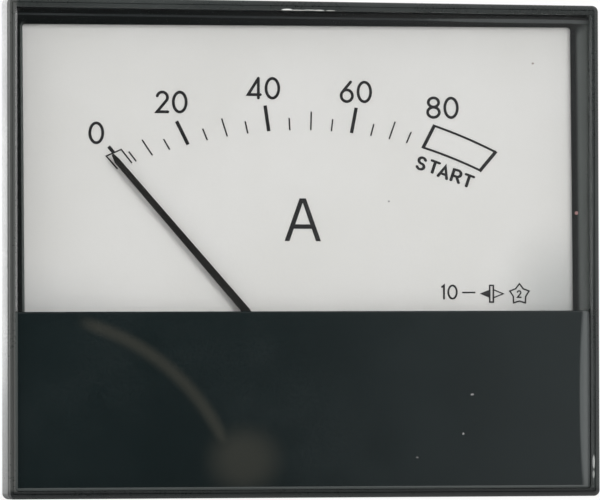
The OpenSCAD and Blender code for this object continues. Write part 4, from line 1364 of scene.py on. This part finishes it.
# The moving magnet sign: a coil, seen end on, across a magnet whose left half is filled
COIL = (26.07 * MM, SIGN_ROW)
COIL_HALF = (0.25 * MM, 1.1 * MM)
MAGNET_HALF = (1.62 * MM, 0.5 * MM)
coil = path(*((COIL[0] + sx * COIL_HALF[0], COIL[1] + sz * COIL_HALF[1])
              for sx, sz in ((-1, -1), (1, -1), (1, 1), (-1, 1))))
signs.append(line(coil, SIGN_LINE, closed=True))
base = COIL_HALF[0] + SIGN_LINE / 2
for side in (-1, 1):
    tip = (COIL[0] + side * MAGNET_HALF[0], COIL[1])
    feet = [(COIL[0] + side * base, COIL[1] + sz * MAGNET_HALF[1]) for sz in (-1, 1)]
    if side < 0:
        signs.append(inked(flat_shape([tip, feet[0], feet[1]])))
    else:
        signs.append(line(path(feet[0], tip, feet[1]), SIGN_LINE * 0.8))

# The test voltage star with its figure
STAR = (29.93 * MM, -5.66 * MM)
STAR_OUTER = 1.40 * MM
STAR_INNER = 0.90 * MM
star = []
for i in range(10):
    angle = math.radians(90 + 36 * i)
    reach = STAR_OUTER if i % 2 == 0 else STAR_INNER
    star.append(Vector((STAR[0] + reach * math.cos(angle), STAR[1] + reach * math.sin(angle))))
signs.append(line(star, SIGN_LINE * 0.9, closed=True))
signs += word("2", STAR[0] - 0.05 * MM, STAR[1] + 0.02 * MM, 1.0 * MM, letters=bold)
for _, source in (*numerals.values(), *bold.values()):
    bpy.data.objects.remove(source)
joined(marks, *signs)
dress(marks, "print_black", stands_for="scale_marks")
low, high = (Vector(f(v.co[i] for v in marks.data.vertices) for i in range(3)) for f in (min, max))
print("print from, mm:", [round(c / MM, 2) for c in low], "to", [round(c / MM, 2) for c in high])

# %% [markdown]
# ## Needle and movement
# The needle is a thin painted strip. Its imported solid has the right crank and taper. A copy is drawn out a
# little longer and broader towards the tip, leans by a hair, and gets rounded edges. The movement behind
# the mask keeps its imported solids, each with its own metal.

# %% Needle
NEEDLE_EDGE = 0.09 * MM
NEEDLE_FROM = 10 * MM
NEEDLE_LONGER = 0.4 * MM
NEEDLE_BROADER = 0.11 * MM
NEEDLE_LEAN = 0.2 * MM

shape = packed_copy("pointer_needle")
hub = Vector((pivot.x, 0, pivot.z))
far = max((Vector((vert.co.x, 0, vert.co.z)) - hub for vert in shape.verts), key=lambda run: run.length)
ahead = Vector((math.sin(angle_of(0)), 0, math.cos(angle_of(0))))
across = Vector((ahead.z, 0, -ahead.x))
print("needle reach, mm:", round(far.length / MM, 2), "off its line, mm:", round(far.dot(across) / MM, 3))
for vert in shape.verts:
    run = vert.co - hub
    share = max((run.dot(ahead) - NEEDLE_FROM) / (far.length - NEEDLE_FROM), 0)
    side = math.copysign(NEEDLE_BROADER, run.dot(across)) - NEEDLE_LEAN
    vert.co += share * (ahead * NEEDLE_LONGER + across * side)
needle = soften(solid_object("needle", shape), NEEDLE_EDGE)
dress(needle, "pointer_black", body="pointer", stands_for="pointer_needle")

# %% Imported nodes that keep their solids
SLOTS = {
    "stud_steel": ("dial_screws", "bridge_screws"),
    "plate_nylon": ("movement_plate",),
    "brass": ("plate_screws", "bridge_pillars", "front_bridge", "front_jewel_screw", "rear_jewel_screw",
              "jewel_lock_nuts", "pointer_hub", "balance_arms", "balance_weights"),
    "jewel_red": ("front_jewel", "rear_jewel"),
    "copper": ("damping_cup", "conductor_strap"),
    "soft_iron": ("shield_ring",),
    "magnet_grey": ("control_magnet_bar", "moving_magnet"),
    "staff_steel": ("stop_pins", "pivot_staff"),
    "sleeve_white": ("stop_sleeves",),
}
for slot, nodes in SLOTS.items():
    for node in nodes:
        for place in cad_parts[node].material_slots:
            place.material = finishes[slot].material
print("packed nodes with finishes:", sum(len(nodes) for nodes in SLOTS.values()))

# %% [markdown]
# ## Studs, nuts and washers
# A thread is a wave that winds round a rod, so Geometry Nodes push the points of a plain cylinder in and out
# by a triangle wave of height and angle. One tree makes the coarse threads of the terminals and the fine
# ones of the fixing studs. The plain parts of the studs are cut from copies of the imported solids.

# %% Thread tree
thread_tree, given, put = node_group("thread", "GeometryNodeTree", [
    ("Radius", "Float", 3 * MM), ("Length", "Float", 8 * MM), ("Pitch", "Float", 1 * MM),
    ("Depth", "Float", 0.5 * MM), ("Chamfer", "Float", 0.5 * MM), ("Sides", "Int", 32), ("Rows", "Int", 80),
    ("Material", "Material"),
], [("Geometry", "Geometry")])
rod = add(thread_tree, "GeometryNodeMeshCylinder", {
    "Vertices": given["Sides"], "Side Segments": given["Rows"], "Radius": given["Radius"],
    "Depth": given["Length"]})
spot = axes_of(Term(add(thread_tree, "GeometryNodeInputPosition").outputs[0]))
turns = spot["Z"] / given["Pitch"] - calc("ARCTAN2", spot["Y"], spot["X"]) / (2 * math.pi)
groove = calc("PINGPONG", turns * 2.0, 1.0) * given["Depth"]
chamfer = calc("MAXIMUM", given["Chamfer"] - (given["Length"] * 0.5 - spot["Z"]), 0.0)
share = 1.0 - calc("MAXIMUM", groove, chamfer) / given["Radius"]
spread = add(thread_tree, "ShaderNodeCombineXYZ",
             {"X": spot["X"] * share, "Y": spot["Y"] * share, "Z": spot["Z"]})
shaped = add(thread_tree, "GeometryNodeSetPosition", {"Geometry": rod, "Position": spread})
finish_tree(shaped, given, put)

THREAD_ROWS = 10
THREAD_OVERLAP = 0.1 * MM


def thread(name, slot, middle, start, end, radius, pitch, depth, sides):
    """A threaded rod along Y from start to end, chamfered at its end."""
    length = end - start
    thing = grown(name, thread_tree, radius=radius, length=length, pitch=pitch, depth=depth, chamfer=depth,
                  sides=sides, rows=round(length / pitch * THREAD_ROWS), material=finishes[slot].material)
    turn = Matrix.Rotation(math.radians(-90), 4, "X")
    thing.data.transform(Matrix.Translation((middle[0], (start + end) / 2, middle[1])) @ turn)
    return thing


def without_end(name, node, y):
    """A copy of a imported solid, cut square at a depth, with what lies beyond taken away."""
    shape = packed_copy(node)
    parts = shape.verts[:] + shape.edges[:] + shape.faces[:]
    bmesh.ops.bisect_plane(shape, geom=parts, plane_co=(0, y, 0), plane_no=(0, 1, 0), clear_outer=True)
    rims = [edge for edge in shape.edges if edge.is_boundary]
    bmesh.ops.edgeloop_fill(shape, edges=rims)
    return solid_object(name, shape)


# %% Terminals
TERMINAL_PITCH = 1.0 * MM
TERMINAL_DEPTH = 0.5 * MM
TERMINAL_RADIUS = 3 * MM
TERMINAL_SIDES = 32
washers_low, washers_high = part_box("terminal_washers")
terminal_z = (washers_low.z + washers_high.z) / 2
terminal_x = (washers_high.x - washers_low.x) / 2 - (washers_high.z - washers_low.z) / 2
free_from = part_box("terminal_outer_nuts")[1].y - THREAD_OVERLAP
thread_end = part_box("terminal_studs")[1].y

studs = without_end("terminal_posts", "terminal_studs", free_from)
threads = [
    thread("thread", "brass", (side * terminal_x, terminal_z), free_from - THREAD_OVERLAP, thread_end,
           TERMINAL_RADIUS, TERMINAL_PITCH, TERMINAL_DEPTH, TERMINAL_SIDES)
    for side in (-1, 1)
]
joined(studs, *threads)
dress(studs, "brass", stands_for="terminal_studs")
NUT_EDGE = 0.12 * MM
for name, node, slot in (
    ("washers", "terminal_washers", "brass"),
    ("inner_nuts", "terminal_inner_nuts", "brass"),
    ("spring_rings", "spring_washers", "stud_steel"),
    ("outer_nuts", "terminal_outer_nuts", "brass"),
):
    dress(soften(solid_object(name, packed_copy(node)), NUT_EDGE), slot, stands_for=node)

# %% Fixing studs
FIXING_PITCH = 0.5 * MM
FIXING_DEPTH = 0.28 * MM
FIXING_RADIUS = 1.5 * MM
FIXING_HEAD = 2.4 * MM
FIXING_SIDES = 24
fixing_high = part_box("fixing_studs")[1]
fixing_at = (fixing_high.x - FIXING_HEAD, fixing_high.z - FIXING_HEAD)
fixing = without_end("fixing_posts", "fixing_studs", THREAD_OVERLAP)
threads = [
    thread("thread", "stud_steel", (sx * fixing_at[0], sz * fixing_at[1]), 0.0, fixing_high.y,
           FIXING_RADIUS, FIXING_PITCH, FIXING_DEPTH, FIXING_SIDES)
    for sx in (-1, 1) for sz in (-1, 1)
]
joined(fixing, *threads)
dress(fixing, "stud_steel", stands_for="fixing_studs")
